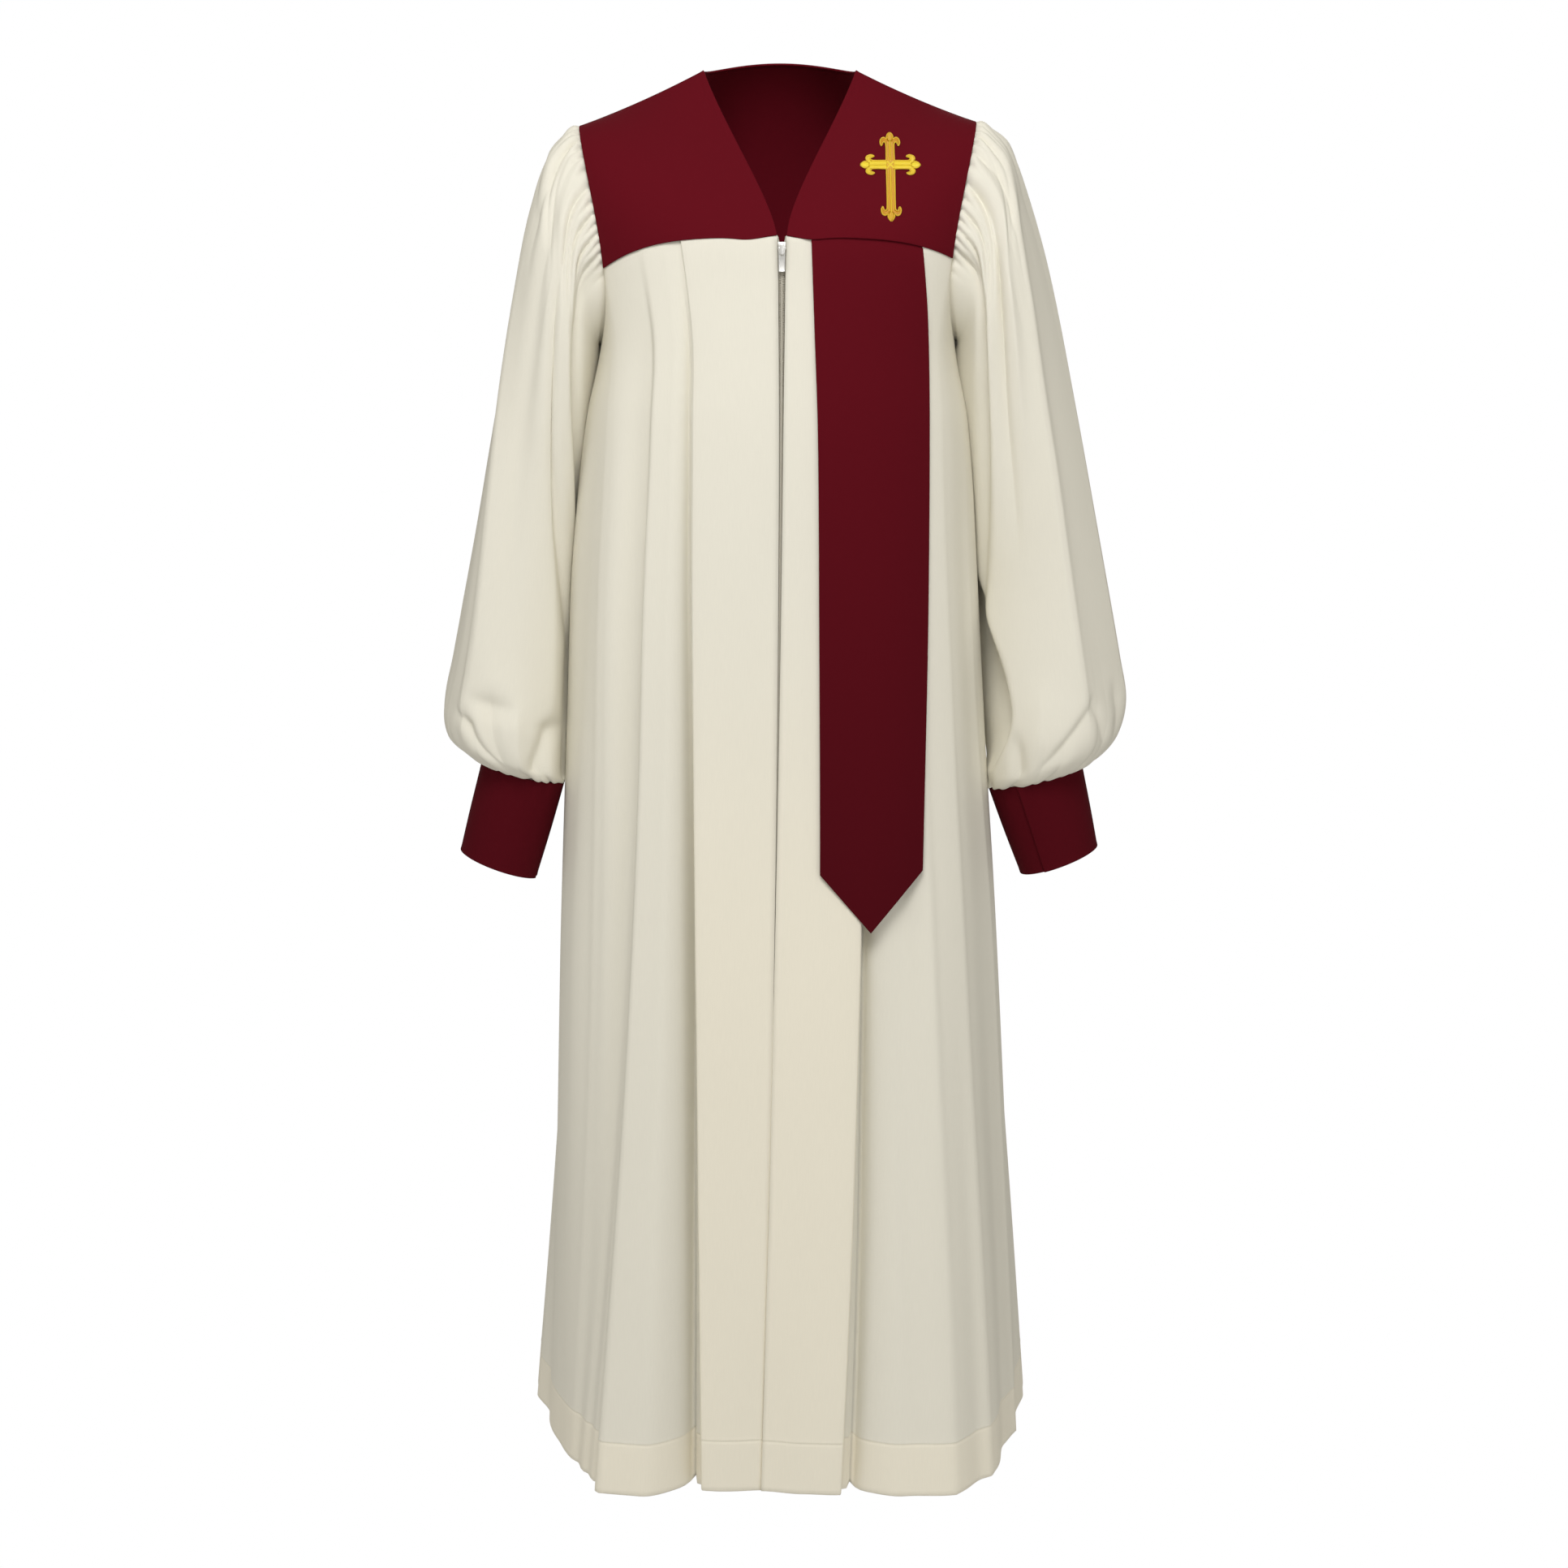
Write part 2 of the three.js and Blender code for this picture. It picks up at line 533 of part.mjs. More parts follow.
for (const side of [RIGHT, LEFT]) {
  const sections = SLEEVES[side];
  const first = Array.from({ length: SLEEVE_COLUMNS }, (_, i) => {
    const degrees = (360 * i) / SLEEVE_COLUMNS;
    const under = (1 - cos(radians(degrees))) / 2;
    const point = armhole(side, degrees);
    point.x += side * lerp(SLEEVE_SEAM.top, SLEEVE_SEAM.under, under);
    return point;
  });
  const rows = [first, ...sections.map((row, k) => sleeveRing(side, row, (k + 1) / sections.length))];
  add(`sleeve_${sideName(side)}`, clothWall(rows, CLOTH, { wraps: true, outward: side }), 'cream');

  const [top, bottom] = [sections.at(-1), CUFFS[side]];
  const turn = 360 + CUFF.lap;
  const cuffRows = steps(3, (down) => steps(26, (round) => {
    const angle = radians(bottom.lapAngle - turn * round);
    const drift = CUFF.step * (1 - 2 * ease(min(max(round * 2 - 1, 0), 1)));
    const length = hypot(bottom.outX - top.outX, bottom.outZ - top.outZ);
    const at = lerp(CUFF.below / length, 1, down);
    const [outX, outZ] = [lerp(top.outX, bottom.outX, at), lerp(top.outZ, bottom.outZ, at)];
    const [inX, inZ] = [lerp(top.inX, bottom.inX, at), lerp(top.inZ, bottom.inZ, at)];
    const grow = 1 + drift / CUFF.depth;
    return new THREE.Vector3(
      side * ((outX + inX) / 2 + ((outX - inX) / 2) * cos(angle) * grow),
      lerp(top.y, CUFF.y, at) - lerp(top.depth, CUFF.depth, at) * sin(angle) * grow,
      (outZ + inZ) / 2 + ((outZ - inZ) / 2) * cos(angle) * grow,
    );
  }));
  add(`cuff_${sideName(side)}`, clothWall(cuffRows, DOUBLE, { outward: -side }), 'burgundy');
}

// ------------------------------------------------------------------ stole panel
// The stole's two edges by height, and its point.
const STOLE_EDGES = table('z inner outer', [
  [-150, 29, 132],
  [-235, 32, 139],
  [-340, 35.5, 141],
  [-520, 37, 140.5],
  [-700, 38, 137.5],
  [-820, 38, 135],
]);
const STOLE_PANEL = { straightTo: -752, point: -809, lift: 2.3 };

// The left front's point at x and z, stood out by rise, found by stepping along the section.
function onLeftFront(x, z, rise) {
  let share = 0.3;
  let point;
  for (let pass = 0; pass < 5; pass++) {
    const top = panelTop(LEFT, share, 1).z - YOKE_SEAM;
    point = panelPoint(LEFT, 1, share, (top - min(z, top)) / (top - HEM), 0, rise);
    share += (x - point.x) / ring(LEFT, z).quarter;
  }
  return point;
}
{
  const { straightTo, point, lift } = STOLE_PANEL;
  const pleat = FRONT_LEFT_FOLDS.filter((fold) => fold.tuck);
  const corner = armhole(LEFT, YOKE_CORNER[LEFT]);
  const rows = steps(12, (down) => steps(6, (across) => {
    const edgeX = (z) =>
      lerp(along(STOLE_EDGES, 'z', z, 'inner'), along(STOLE_EDGES, 'z', z, 'outer'), across);
    const top = yokeEdge(LEFT, edgeX(YOKE_FRONT_Z) / corner.x, 1).z - YOKE_SEAM;
    const z = lerp(top, lerp(point, straightTo, abs(2 * across - 1)), down);
    const swell = stations(pleat, (top - z) / (top - HEM))[0].rise;
    return onLeftFront(edgeX(z), z, lift + swell);
  }));
  add('stole_panel', clothWall(rows, STOLE, { outward: -1 }), 'burgundy');
}

// ------------------------------------------------------------------ embroidered cross
// A cross fleury: each arm ends in a bud between two leaves that curl back.
const CROSS = {
  x: 103, z: -92, arms: [31, 28, 52, 28], half: 4.5, // arms: up, out, down, in
  bud: 3, leafAt: 9, leafOut: 9, leafBack: 13, leafWidth: 2.8,
  thickness: 1.0, clear: 0.4, facet: 11,
};
function crossOutline() {
  const { arms, half, bud, leafAt, leafOut, leafBack, leafWidth } = CROSS;
  const shape = new THREE.Shape();
  arms.forEach((length, k) => {
    const turn = radians(90 - 90 * k);
    const [alongX, alongZ] = [cos(turn), sin(turn)];
    const place = (a, b) => [a * alongX + b * alongZ, a * alongZ - b * alongX];
    const curve = (a1, b1, a2, b2) => shape.quadraticCurveTo(...place(a1, b1), ...place(a2, b2));
    const line = (a, b) => shape.lineTo(...place(a, b));
    if (k === 0) shape.moveTo(...place(half, -half));
    else line(half, -half);
    line(length - leafAt - leafWidth, -half);
    line(length - leafAt - 0.5, -half - 2);
    line(length - leafBack, -leafOut);
    curve(length - leafAt + 3.5, -leafOut - 1.5, length - leafAt + leafWidth, -half);
    line(length - leafAt + leafWidth, -bud * 0.6);
    curve(length - 2, -bud * 1.6, length, 0);
    curve(length - 2, bud * 1.6, length - leafAt + leafWidth, bud * 0.6);
    line(length - leafAt + leafWidth, half);
    curve(length - leafAt + 3.5, leafOut + 1.5, length - leafBack, leafOut);
    line(length - leafAt - 0.5, half + 2);
    line(length - leafAt - leafWidth, half);
  });
  return shape;
}

// A point of the left front yoke at x and z, stood out by rise.
function onLeftYoke(surface, x, z, rise) {
  let [across, down] = [0.4, 0.5];
  const nudge = 0.01;
  let [point, aside, below] = [];
  for (let pass = 0; pass < 6; pass++) {
    point = surface(across, down);
    aside = surface(across + nudge, down).sub(point).divideScalar(nudge);
    below = surface(across, down + nudge).sub(point).divideScalar(nudge);
    const area = aside.x * below.z - aside.z * below.x;
    const [dx, dz] = [x - point.x, z - point.z];
    across += (dx * below.z - dz * below.x) / area;
    down += (aside.x * dz - aside.z * dx) / area;
  }
  return point.addScaledVector(below.cross(aside).normalize(), rise);
}
{
  const extruded = new THREE.ExtrudeGeometry(crossOutline(), {
    depth: CROSS.thickness, bevelEnabled: false, curveSegments: 3,
  });
  const facets = new TessellateModifier(CROSS.facet, 6).modify(extruded);
  const surface = frontYoke(LEFT);
  const at = facets.attributes.position;
  for (let i = 0; i < at.count; i++) {
    const rise = DOUBLE / 2 + CROSS.clear + at.getZ(i);
    const point = onLeftYoke(surface, CROSS.x + at.getX(i), CROSS.z + at.getY(i), rise);
    at.setXYZ(i, point.x, point.y, point.z);
  }
  add('cross', facets, 'gold');
}

// ------------------------------------------------------------------ zip
const TAPE = { width: 13, wall: 0.7, rise: -3.5, parting: 0.3 };
const CHAIN = { width: 5, wall: 1.4, rise: -2.1 };
const CHAIN_TOP = ZIP_TOP - 14.5; // under the slider
const ZIP_HEIGHTS = [
  ZIP_TOP, CHAIN_TOP, ...steps(12, (down) => lerp(-205, ZIP_TOP - ZIP_LENGTH, down)),
];
const onZip = (z, offset, rise) => skirtPoint(LEFT, z, zipX(z) + offset, rise);
const strip = (heights, from, to, { rise, wall }) => {
  const rows = heights.map((z) => [from, (from + to) / 2, to].map((offset) => onZip(z, offset, rise)));
  return clothWall(rows, wall, { outward: -1 });
};
for (const side of [RIGHT, LEFT]) {
  const [near, far] = [TAPE.parting * side, TAPE.width * side].sort((a, b) => a - b);
  add(`zip_tape_${sideName(side)}`, strip(ZIP_HEIGHTS, near, far, TAPE), 'tape');
}
add('zip_chain', strip(ZIP_HEIGHTS.slice(1), -CHAIN.width / 2, CHAIN.width / 2, CHAIN), 'chain');

// The slider's parts and the pull tab are placed from the pin of the pull, along X: x across, out
// towards the front, and z up.
const PIN = { z: -168.5, out: 3.5, radius: 0.8, half: 3.7 };
const SLIDER = { width: 7.6, height: 12.5, plate: 1.1, plateOut: 0.95, neck: 4.8, neckIn: -2.2 };
const BRIDGE = { width: 2.4, top: 164.0, bottom: 174.2, bar: 1.2, inside: 4.7 };
const TAB = { leg: 1.3, legDown: 6.8, width: 7.4, thick: 1.2, bottom: -22.5 };
const block = (width, depth, height, x, out, z) =>
  new THREE.BoxGeometry(width, depth, height).translate(x, -out, z);

const pinAt = onZip(PIN.z, 0, 0);
const slider = new THREE.Group();
slider.position.copy(pinAt);
robe.add(slider);
{
  const { plate, plateOut, neckIn } = SLIDER;
  const [up, low] = [-BRIDGE.top - PIN.z, -BRIDGE.bottom - PIN.z];
  const middle = (up + low) / 2;
  const post = (z) => block(BRIDGE.width, BRIDGE.inside + BRIDGE.bar - plateOut, 1.5, 0,
    (BRIDGE.inside + BRIDGE.bar + plateOut) / 2, z);
  const parts = [
    block(SLIDER.width, plate, SLIDER.height, 0, plateOut + plate / 2, middle),
    block(SLIDER.neck, plateOut + 0.4 - neckIn, SLIDER.height, 0, (plateOut + 0.4 + neckIn) / 2, middle),
    post(up - 0.75),
    post(low + 0.75),
    block(BRIDGE.width, BRIDGE.bar, up - low, 0, BRIDGE.inside + BRIDGE.bar / 2, middle),
  ];
  add('zip_slider', joined(parts), 'metal', slider);

  const pin = new THREE.CylinderGeometry(PIN.radius, PIN.radius, 2 * PIN.half, 12).rotateZ(Math.PI / 2);
  const legX = PIN.half - TAB.leg / 2;
  const leg = (side) => block(TAB.leg, TAB.thick, TAB.legDown + 1, side * legX, 0, -(TAB.legDown + 1) / 2);
  const plateHeight = -TAB.bottom - TAB.legDown;
  const plateShape = block(TAB.width, TAB.thick, plateHeight, 0, 0, -TAB.legDown - plateHeight / 2);
  const tab = add('zip_pull_tab', joined([pin, leg(RIGHT), leg(LEFT), plateShape]), 'metal', slider);
  tab.position.set(0, -PIN.out, 0);
}

export default robe;
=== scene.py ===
"""A choir robe, filled out as it is worn: cream skirt and bishop sleeves, burgundy yoke, cuffs and stole
panel, an embroidered cross and a centre-front zip. Cloth shapes are worked out in millimetres."""
import math

import bmesh
import bpy
import numpy as np
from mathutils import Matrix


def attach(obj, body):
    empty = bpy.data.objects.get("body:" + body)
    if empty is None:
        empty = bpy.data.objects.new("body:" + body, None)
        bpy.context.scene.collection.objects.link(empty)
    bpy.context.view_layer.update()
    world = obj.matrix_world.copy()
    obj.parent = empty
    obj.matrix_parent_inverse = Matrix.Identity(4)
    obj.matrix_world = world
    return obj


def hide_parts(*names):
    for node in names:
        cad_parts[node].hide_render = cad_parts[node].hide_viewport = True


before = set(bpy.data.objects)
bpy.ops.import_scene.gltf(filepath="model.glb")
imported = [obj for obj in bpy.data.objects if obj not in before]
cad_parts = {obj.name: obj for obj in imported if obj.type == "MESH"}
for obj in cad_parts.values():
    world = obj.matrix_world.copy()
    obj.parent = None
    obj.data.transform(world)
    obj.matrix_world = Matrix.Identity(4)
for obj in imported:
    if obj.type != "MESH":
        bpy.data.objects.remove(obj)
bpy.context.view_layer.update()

# ---- Studio
# A white floor and sky round the robe, one broad light before and above the shoulders, a weaker one
# low on each side and one behind for the back.
scene = bpy.context.scene
scene.view_settings.view_transform = "Standard"
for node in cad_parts.values():
    node.select_set(False)

bpy.ops.object.camera_add(location=(0.004, -2.7, -0.217), rotation=(math.radians(90 - 9.99), 0, 0))
camera = bpy.context.object
camera.data.lens = 62.9
scene.camera = camera

FLOOR_Z = -1.62
AMBIENT = 0.34
bpy.ops.mesh.primitive_plane_add(size=24, location=(0, 4, FLOOR_Z))
floor = bpy.context.object
floor.name = "studio_floor"
floor_paint = bpy.data.materials.new("studio_white")
floor_paint.use_nodes = True
floor.data.materials.append(floor_paint)
scene.world = bpy.data.worlds.new("studio")
scene.world.use_nodes = True


def white_to_camera(tree, lit, white, output):
    """The camera meets the white shader, and light on its way to the robe meets the lit one."""
    path = tree.nodes.new("ShaderNodeLightPath")
    mixed = tree.nodes.new("ShaderNodeMixShader")
    tree.links.new(path.outputs["Is Camera Ray"], mixed.inputs[0])
    tree.links.new(lit.outputs[0], mixed.inputs[1])
    tree.links.new(white.outputs[0], mixed.inputs[2])
    tree.links.new(mixed.outputs[0], output.inputs["Surface"])


paint = floor_paint.node_tree
lit_floor = paint.nodes["Principled BSDF"]
lit_floor.inputs["Base Color"].default_value = (0.8, 0.8, 0.8, 1)
lit_floor.inputs["Roughness"].default_value = 0.9
white_to_camera(paint, lit_floor, paint.nodes.new("ShaderNodeEmission"), paint.nodes["Material Output"])
sky = scene.world.node_tree
sky.nodes["Background"].inputs["Color"].default_value = (1, 0.965, 0.88, 1)
sky.nodes["Background"].inputs["Strength"].default_value = AMBIENT
white_sky = sky.nodes.new("ShaderNodeBackground")
white_sky.inputs["Color"].default_value = (1, 1, 1, 1)
white_to_camera(sky, sky.nodes["Background"], white_sky, sky.nodes["World Output"])


def soft_light(name, place, aim, size, watts):
    """A square light of that size in metres, turned to face a point."""
    bpy.ops.object.light_add(type="AREA", location=place)
    light = bpy.context.object
    light.name = name
    light.data.size = size
    light.data.energy = watts
    towards = [there - here for here, there in zip(place, aim)]
    flat = math.hypot(towards[0], towards[1])
    light.rotation_euler = (math.atan2(flat, -towards[2]), 0, math.atan2(-towards[0], towards[1]))


soft_light("key", (-0.15, -2.0, 1.5), (0, 0, -0.25), 1.2, 45)
soft_light("fill", (1.3, -2.4, -0.1), (0, 0, -0.6), 1.6, 11)
soft_light("side", (-1.9, -1.0, -0.5), (-0.1, 0, -0.8), 1.4, 4)
soft_light("behind", (0.2, 2.6, 0.5), (0, 0, -0.5), 1.6, 26)

# ---- Skirt fronts
# Two panels of cream gabardine, each with a flat centre, one knife pleat and soft flutes that open
# out to the hem. The cloth is turned under at the zip and turned up 50 mm at the hem.
RIGHT, LEFT = -1, 1
SIDES = {RIGHT: "right", LEFT: "left"}
HEM = -1357
CREAM_WALL = 0.9
YOKE_SEAM = 0.7
YOKE_SHARE = 0.6
YOKE_LOW = {"front": -159, "back": -178}
ZIP_TOP = -162
ZIP_START = 2
ZIP_SWAY = 20
ZIP_CLOSED = -900


def table(names, rows):
    return [dict(zip(names.split(), row)) for row in rows]


# The skirt's sections, down from the yoke: half widths to the right and left, depths in front and
# behind, how far back each is widest, and the power of its curve, which is squarer as it rises.
BODY = table("z right left front back widest power", [
    (-150, 190, 190, 118, 112, 0, 2.4),
    (-205, 182, 179, 120, 116, 1, 2.4),
    (-260, 178, 174, 125, 120, 2, 2.4),
    (-330, 190, 184, 132, 127, 5, 2.4),
    (-480, 203, 191, 140, 140, 12, 2.5),
    (-650, 209, 201, 149, 155, 20, 2.6),
    (-800, 215, 213, 158, 168, 27, 2.7),
    (-1000, 227, 229, 168, 185, 35, 2.8),
    (-1180, 241, 244, 179, 202, 43, 2.9),
    (-1357, 257, 257, 190, 218, 50, 3.0),
])


def lerp(a, b, t):
    return a + (b - a) * t


def ease(t):
    return t * t * (3 - 2 * t)


def ramp(value, start, end):
    """0 before start, 1 after end, and eased between them."""
    return ease(np.clip((value - start) / (end - start), 0, 1))


def bell(distance, width):
    """1 at no distance, falling away over a width."""
    return np.exp(-((distance / width) ** 2))


def through(knots, values, at):
    """A smooth curve through values at knots, read at new places; values may be points."""
    knots, values, at = np.asarray(knots, float), np.asarray(values, float), np.asarray(at, float)
    last = len(knots) - 1
    at = np.clip(at, knots[0], knots[-1])
    i = np.clip(np.searchsorted(knots[1:], at), 0, last - 1)
    grow = values.ndim - 1

    def widen(number):
        return number.reshape(number.shape + (1,) * grow)

    def slope(a, b):
        return (values[b] - values[a]) / widen(knots[b] - knots[a])

    span = widen(knots[i + 1] - knots[i])
    t = widen(at - knots[i]) / span
    before = slope(np.maximum(i - 1, 0), i + 1) * span
    after = slope(i, np.minimum(i + 2, last)) * span
    a, b = values[i], values[i + 1]
    return a + t * (before + t * (3 * (b - a) - 2 * before - after + t * (2 * (a - b) + before + after)))


def along(rows, key, at, name):
    """A table's column read between its rows."""
    knots = np.array([row[key] for row in rows], float)
    down = np.sign(knots[1] - knots[0])
    return through(knots * down, [row[name] for row in rows], np.asarray(at, float) * down)


def vector(x, y, z):
    """Points from their coordinates, each a number or a field of them."""
    return np.stack(np.broadcast_arrays(np.asarray(x, float), y, z), axis=-1)


LEVEL_TOP, LEVEL_STEP = -150, 2.0
LEVELS = np.arange(LEVEL_TOP, HEM - 12, -LEVEL_STEP)
SECTION_STEPS = 720


def section_table(side):
    """One side's sections from the front's centre to the back's, at even shares of their length."""
    names = (SIDES[side], "front", "back", "widest", "power")
    half, front, back, widest, power = (along(BODY, "z", LEVELS, name)[:, None] for name in names)
    angle = np.radians(np.linspace(-90, 90, SECTION_STEPS + 1))[None, :]
    depth = np.where(angle < 0, front + widest, back - widest)
    reach = (np.abs(np.cos(angle)) / half) ** power + (np.abs(np.sin(angle)) / depth) ** power
    reach = reach ** (-1 / power)
    x, y = side * reach * np.cos(angle), widest + reach * np.sin(angle)
    steps = np.hypot(np.diff(x, axis=1), np.diff(y, axis=1))
    walked = np.concatenate([np.zeros((len(LEVELS), 1)), np.cumsum(steps, axis=1)], axis=1)
    shares = np.linspace(0, 1, SECTION_STEPS + 1)
    made = {"whole": walked[:, -1], "quarter": walked[:, SECTION_STEPS // 2]}
    for name, field in (("x", x), ("y", y)):
        made[name] = np.array([np.interp(shares * w[-1], w, f) for w, f in zip(walked, field)])
    dx, dy = np.gradient(made["x"], axis=1), np.gradient(made["y"], axis=1)
    length = np.hypot(dx, dy)
    made["out_x"], made["out_y"] = side * dy / length, -side * dx / length
    return made


SECTIONS = {side: section_table(side) for side in SIDES}


def level_of(z):
    row = np.clip((LEVEL_TOP - np.asarray(z, float)) / LEVEL_STEP, 0, len(LEVELS) - 1.001)
    return row.astype(int), row % 1


def length_at(side, which, z):
    i, t = level_of(z)
    field = SECTIONS[side][which]
    return lerp(field[i], field[i + 1], t)


def skirt_point(side, z, walked, rise=0.0):
    """The skirt's smooth surface, walked mm from the front's centre and stood out by rise."""
    z, walked = np.broadcast_arrays(np.asarray(z, float), np.asarray(walked, float))
    i, t = level_of(z)
    share = np.clip(np.abs(walked) / length_at(side, "whole", z), 0, 0.99999) * SECTION_STEPS
    j, u = share.astype(int), share % 1
    flip = np.where(walked < 0, -1, 1)

    def read(name):
        field = SECTIONS[side][name]
        return lerp(lerp(field[i, j], field[i, j + 1], u), lerp(field[i + 1, j], field[i + 1, j + 1], u), t)

    return vector(flip * (read("x") + read("out_x") * rise), read("y") + read("out_y") * rise, z)


def zip_x(z):
    """The zip's middle, which drifts to the wearer's right on its way down."""
    return ZIP_START - ZIP_SWAY * np.clip((ZIP_TOP - z) / (ZIP_TOP - HEM), 0, 1) ** 1.8


def zip_gap(z):
    """Half the gap between the two fronts. Below the tapes they all but touch."""
    beside_teeth = lerp(3.0, 0.44, np.clip((ZIP_TOP - z) / (ZIP_TOP - ZIP_CLOSED), 0, 1))
    return beside_teeth - 0.32 * ramp(-z, 1085, 1150)


SHOULDER_TIP = {RIGHT: (192, -52), LEFT: (188, -48)}
YOKE_CORNER = {RIGHT: 107, LEFT: 104}
ARMHOLE = {"height": 104, "depth": 75, "taper": 24, "flare": 30}


def armhole(side, degrees):
    """The armhole's edge: 0 at the shoulder's tip, positive to the front, 180 under the arm."""
    angle = np.radians(degrees)
    low = (1 - np.cos(angle)) / 2
    tip_x, tip_z = SHOULDER_TIP[side]
    return vector(
        side * (tip_x - 2 * ARMHOLE["taper"] * low + ARMHOLE["flare"] * low ** 4),
        -ARMHOLE["depth"] * np.sin(angle),
        tip_z - 2 * ARMHOLE["height"] * low,
    )


def yoke_edge(side, share, facing):
    """The yoke's lower edge, share 0 at the centre and 1 at the armhole; facing is 1 for the front."""
    face = "front" if facing > 0 else "back"
    corner = armhole(side, facing * YOKE_CORNER[side])
    centre_x, centre_z = zip_x(ZIP_TOP) + side * 4.5 if facing > 0 else 0, YOKE_LOW[face]

    def section_y(x, z):
        half, power, depth = (along(BODY, "z", z, name) for name in (SIDES[side], "power", face))
        return -facing * depth * (1 - np.minimum(np.abs(x) / half, 1) ** power) ** (1 / power)

    share = np.asarray(share, float)
    x, z = lerp(centre_x, corner[0], share), lerp(centre_z, corner[2], share ** 4)
    slip = corner[1] - section_y(corner[0], corner[2])
    y = section_y(x, z) + slip * share ** 2
    if facing > 0:
        z = z + 2.2 * bell(x, 15) - 1.6 * bell(np.abs(x) - 31, 14)
    return vector(x, y, z)


def panel_top(side, share, facing):
    """A panel's top edge: the yoke's lower edge, and then the armhole's lower part."""
    share = np.asarray(share, float)
    under = np.clip((share - YOKE_SHARE) / (1 - YOKE_SHARE), 0, 1)
    from_yoke = yoke_edge(side, np.clip(share / YOKE_SHARE, 0, 1), facing)
    from_armhole = armhole(side, facing * lerp(YOKE_CORNER[side], 180, under))
    return np.where((share <= YOKE_SHARE)[..., None], from_yoke, from_armhole)


EDGE_REACH = 240


def panel_point(side, facing, share, fall, back=0.0, rise=0.0):
    """Share runs from the centre to the side seam and fall from the top edge to the hem. Back is cloth
    turned back along the section, and rise stands out from it. The top edge's own shape fades out below."""
    share, fall, back, rise = np.broadcast_arrays(share, fall, back, rise)
    top = panel_top(side, share, facing)
    z = lerp(top[..., 2] - YOKE_SEAM, HEM, fall)

    def walked_at(height):
        centre = side * zip_x(height) + zip_gap(height) if facing > 0 else length_at(side, "whole", height)
        return lerp(centre, length_at(side, "quarter", height), share)

    point = skirt_point(side, z, walked_at(z) - facing * back, rise)
    loosen = np.clip(1 - (top[..., 2] - z) / EDGE_REACH, 0, 1.05) ** 2
    slip = top - skirt_point(side, top[..., 2], walked_at(top[..., 2]))
    return point + slip * loosen[..., None]


# A fold's line runs from its share of the panel's width at the top to its share at the hem. Its height in
# mm is given at these falls, and its tuck is how far a pleat's cloth is folded back under it.
FOLD_FALLS = [0, 0.25, 0.55, 1]
FOLD_COLUMNS = "top hem rise_top rise_arm rise_mid rise_hem tuck"
FRONT_FOLDS = {
    RIGHT: table(FOLD_COLUMNS, [
        (0.0, 0.0, 0, 0, 0, 0, 0),
        (0.16, 0.07, 0.3, 2, 2, 2, 0),
        (0.327, 0.145, 0.5, 3, 4, 2, 20),
        (0.335, 0.16, -2, -5, -13, -8, 0),
        (0.4, 0.28, -0.5, 2, 3, 25, 0),
        (0.46, 0.38, 0, 4, 4, 26, 0),
        (0.481, 0.402, -0.6, -5, -8, 15, 0),
        (0.52, 0.455, -0.5, -7, -14, 0, 0),
        (0.62, 0.52, 0, 0, -7, -12, 0),
        (0.74, 0.68, 0, -2, 2, -20, 0),
        (0.88, 0.86, 0, 3, 3, -16, 0),
        (1.0, 1.0, 0, -6, -5, 0, 0),
    ]),
    LEFT: table(FOLD_COLUMNS, [
        (0.0, 0.0, 0, 0, 0, 2, 0),
        (0.16, 0.09, 0.3, 2, 2, 8, 0),
        (0.32, 0.175, 0.5, 3, 4, 12, 20),
        (0.33, 0.19, -2, -5, -13, 1, 0),
        (0.42, 0.31, -0.6, -5, -8, 22, 0),
        (0.51, 0.41, 0, 1, 3, 30, 0),
        (0.6, 0.5, 0, 2, 4, 14, 0),
        (0.74, 0.68, 0, -2, -2, -15, 0),
        (0.88, 0.86, 0, 4, 1, -11, 0),
        (1.0, 1.0, 0, -6, -5, 0, 0),
    ]),
}
# Between the layers of a pleat, at the yoke's seam and below it.
LAYER_GAP = {"seam": 1.3, "below": 3.8}
# Crisp lines on the fronts' folds, with how wide each side of a line is in mm.
CREASE_COLUMNS = FOLD_COLUMNS.replace("tuck", "before after")
CREASES = {
    RIGHT: table(CREASE_COLUMNS, [
        (0.456, 0.376, 0.6, 2.8, 4.0, 5.5, 34, 4),
        (0.476, 0.394, -1, -4, -6, -5, 4, 24),
        (0.345, 0.169, -2, -13, -24, -26, 3.5, 7),
        (0.66, 0.55, 0, 1, 1.5, 0.5, 16, 8),
        (0.215, 0.1, 0, 0.6, 0.6, 0.8, 30, 20),
    ]),
    LEFT: table(CREASE_COLUMNS, [
        (0.34, 0.199, -2, -10, -18, -20, 3.5, 6),
        (0.51, 0.41, 0, 1.5, 2, 3, 22, 6),
        (0.62, 0.52, 0, 1, 2, 3, 14, 7),
        (0.79, 0.77, 0, 0.5, 1.5, 3, 12, 8),
    ]),
}
PANEL_WIDTH = 430


def crest(offset, before, after, crisp):
    """A fold's profile across its line: 1 on it, falling over its own width on each side."""
    away = np.abs(offset) / np.where(offset < 0, before, after)
    return lerp(bell(away, 1), np.exp(0.2 - np.hypot(1.5 * away, 0.2)), crisp)


def fold_line(fold, fall):
    return lerp(fold["top"], fold["hem"], fall)


def fold_rise(fold, fall):
    return through(FOLD_FALLS, [fold[name] for name in FOLD_COLUMNS.split()[2:6]], fall)


def creases(lines, share, fall):
    rise = 0
    for line in lines:
        offset = (share - fold_line(line, fall)) * PANEL_WIDTH
        rise = rise + fold_rise(line, fall) * crest(offset, line["before"], line["after"], 0.9)
    return rise


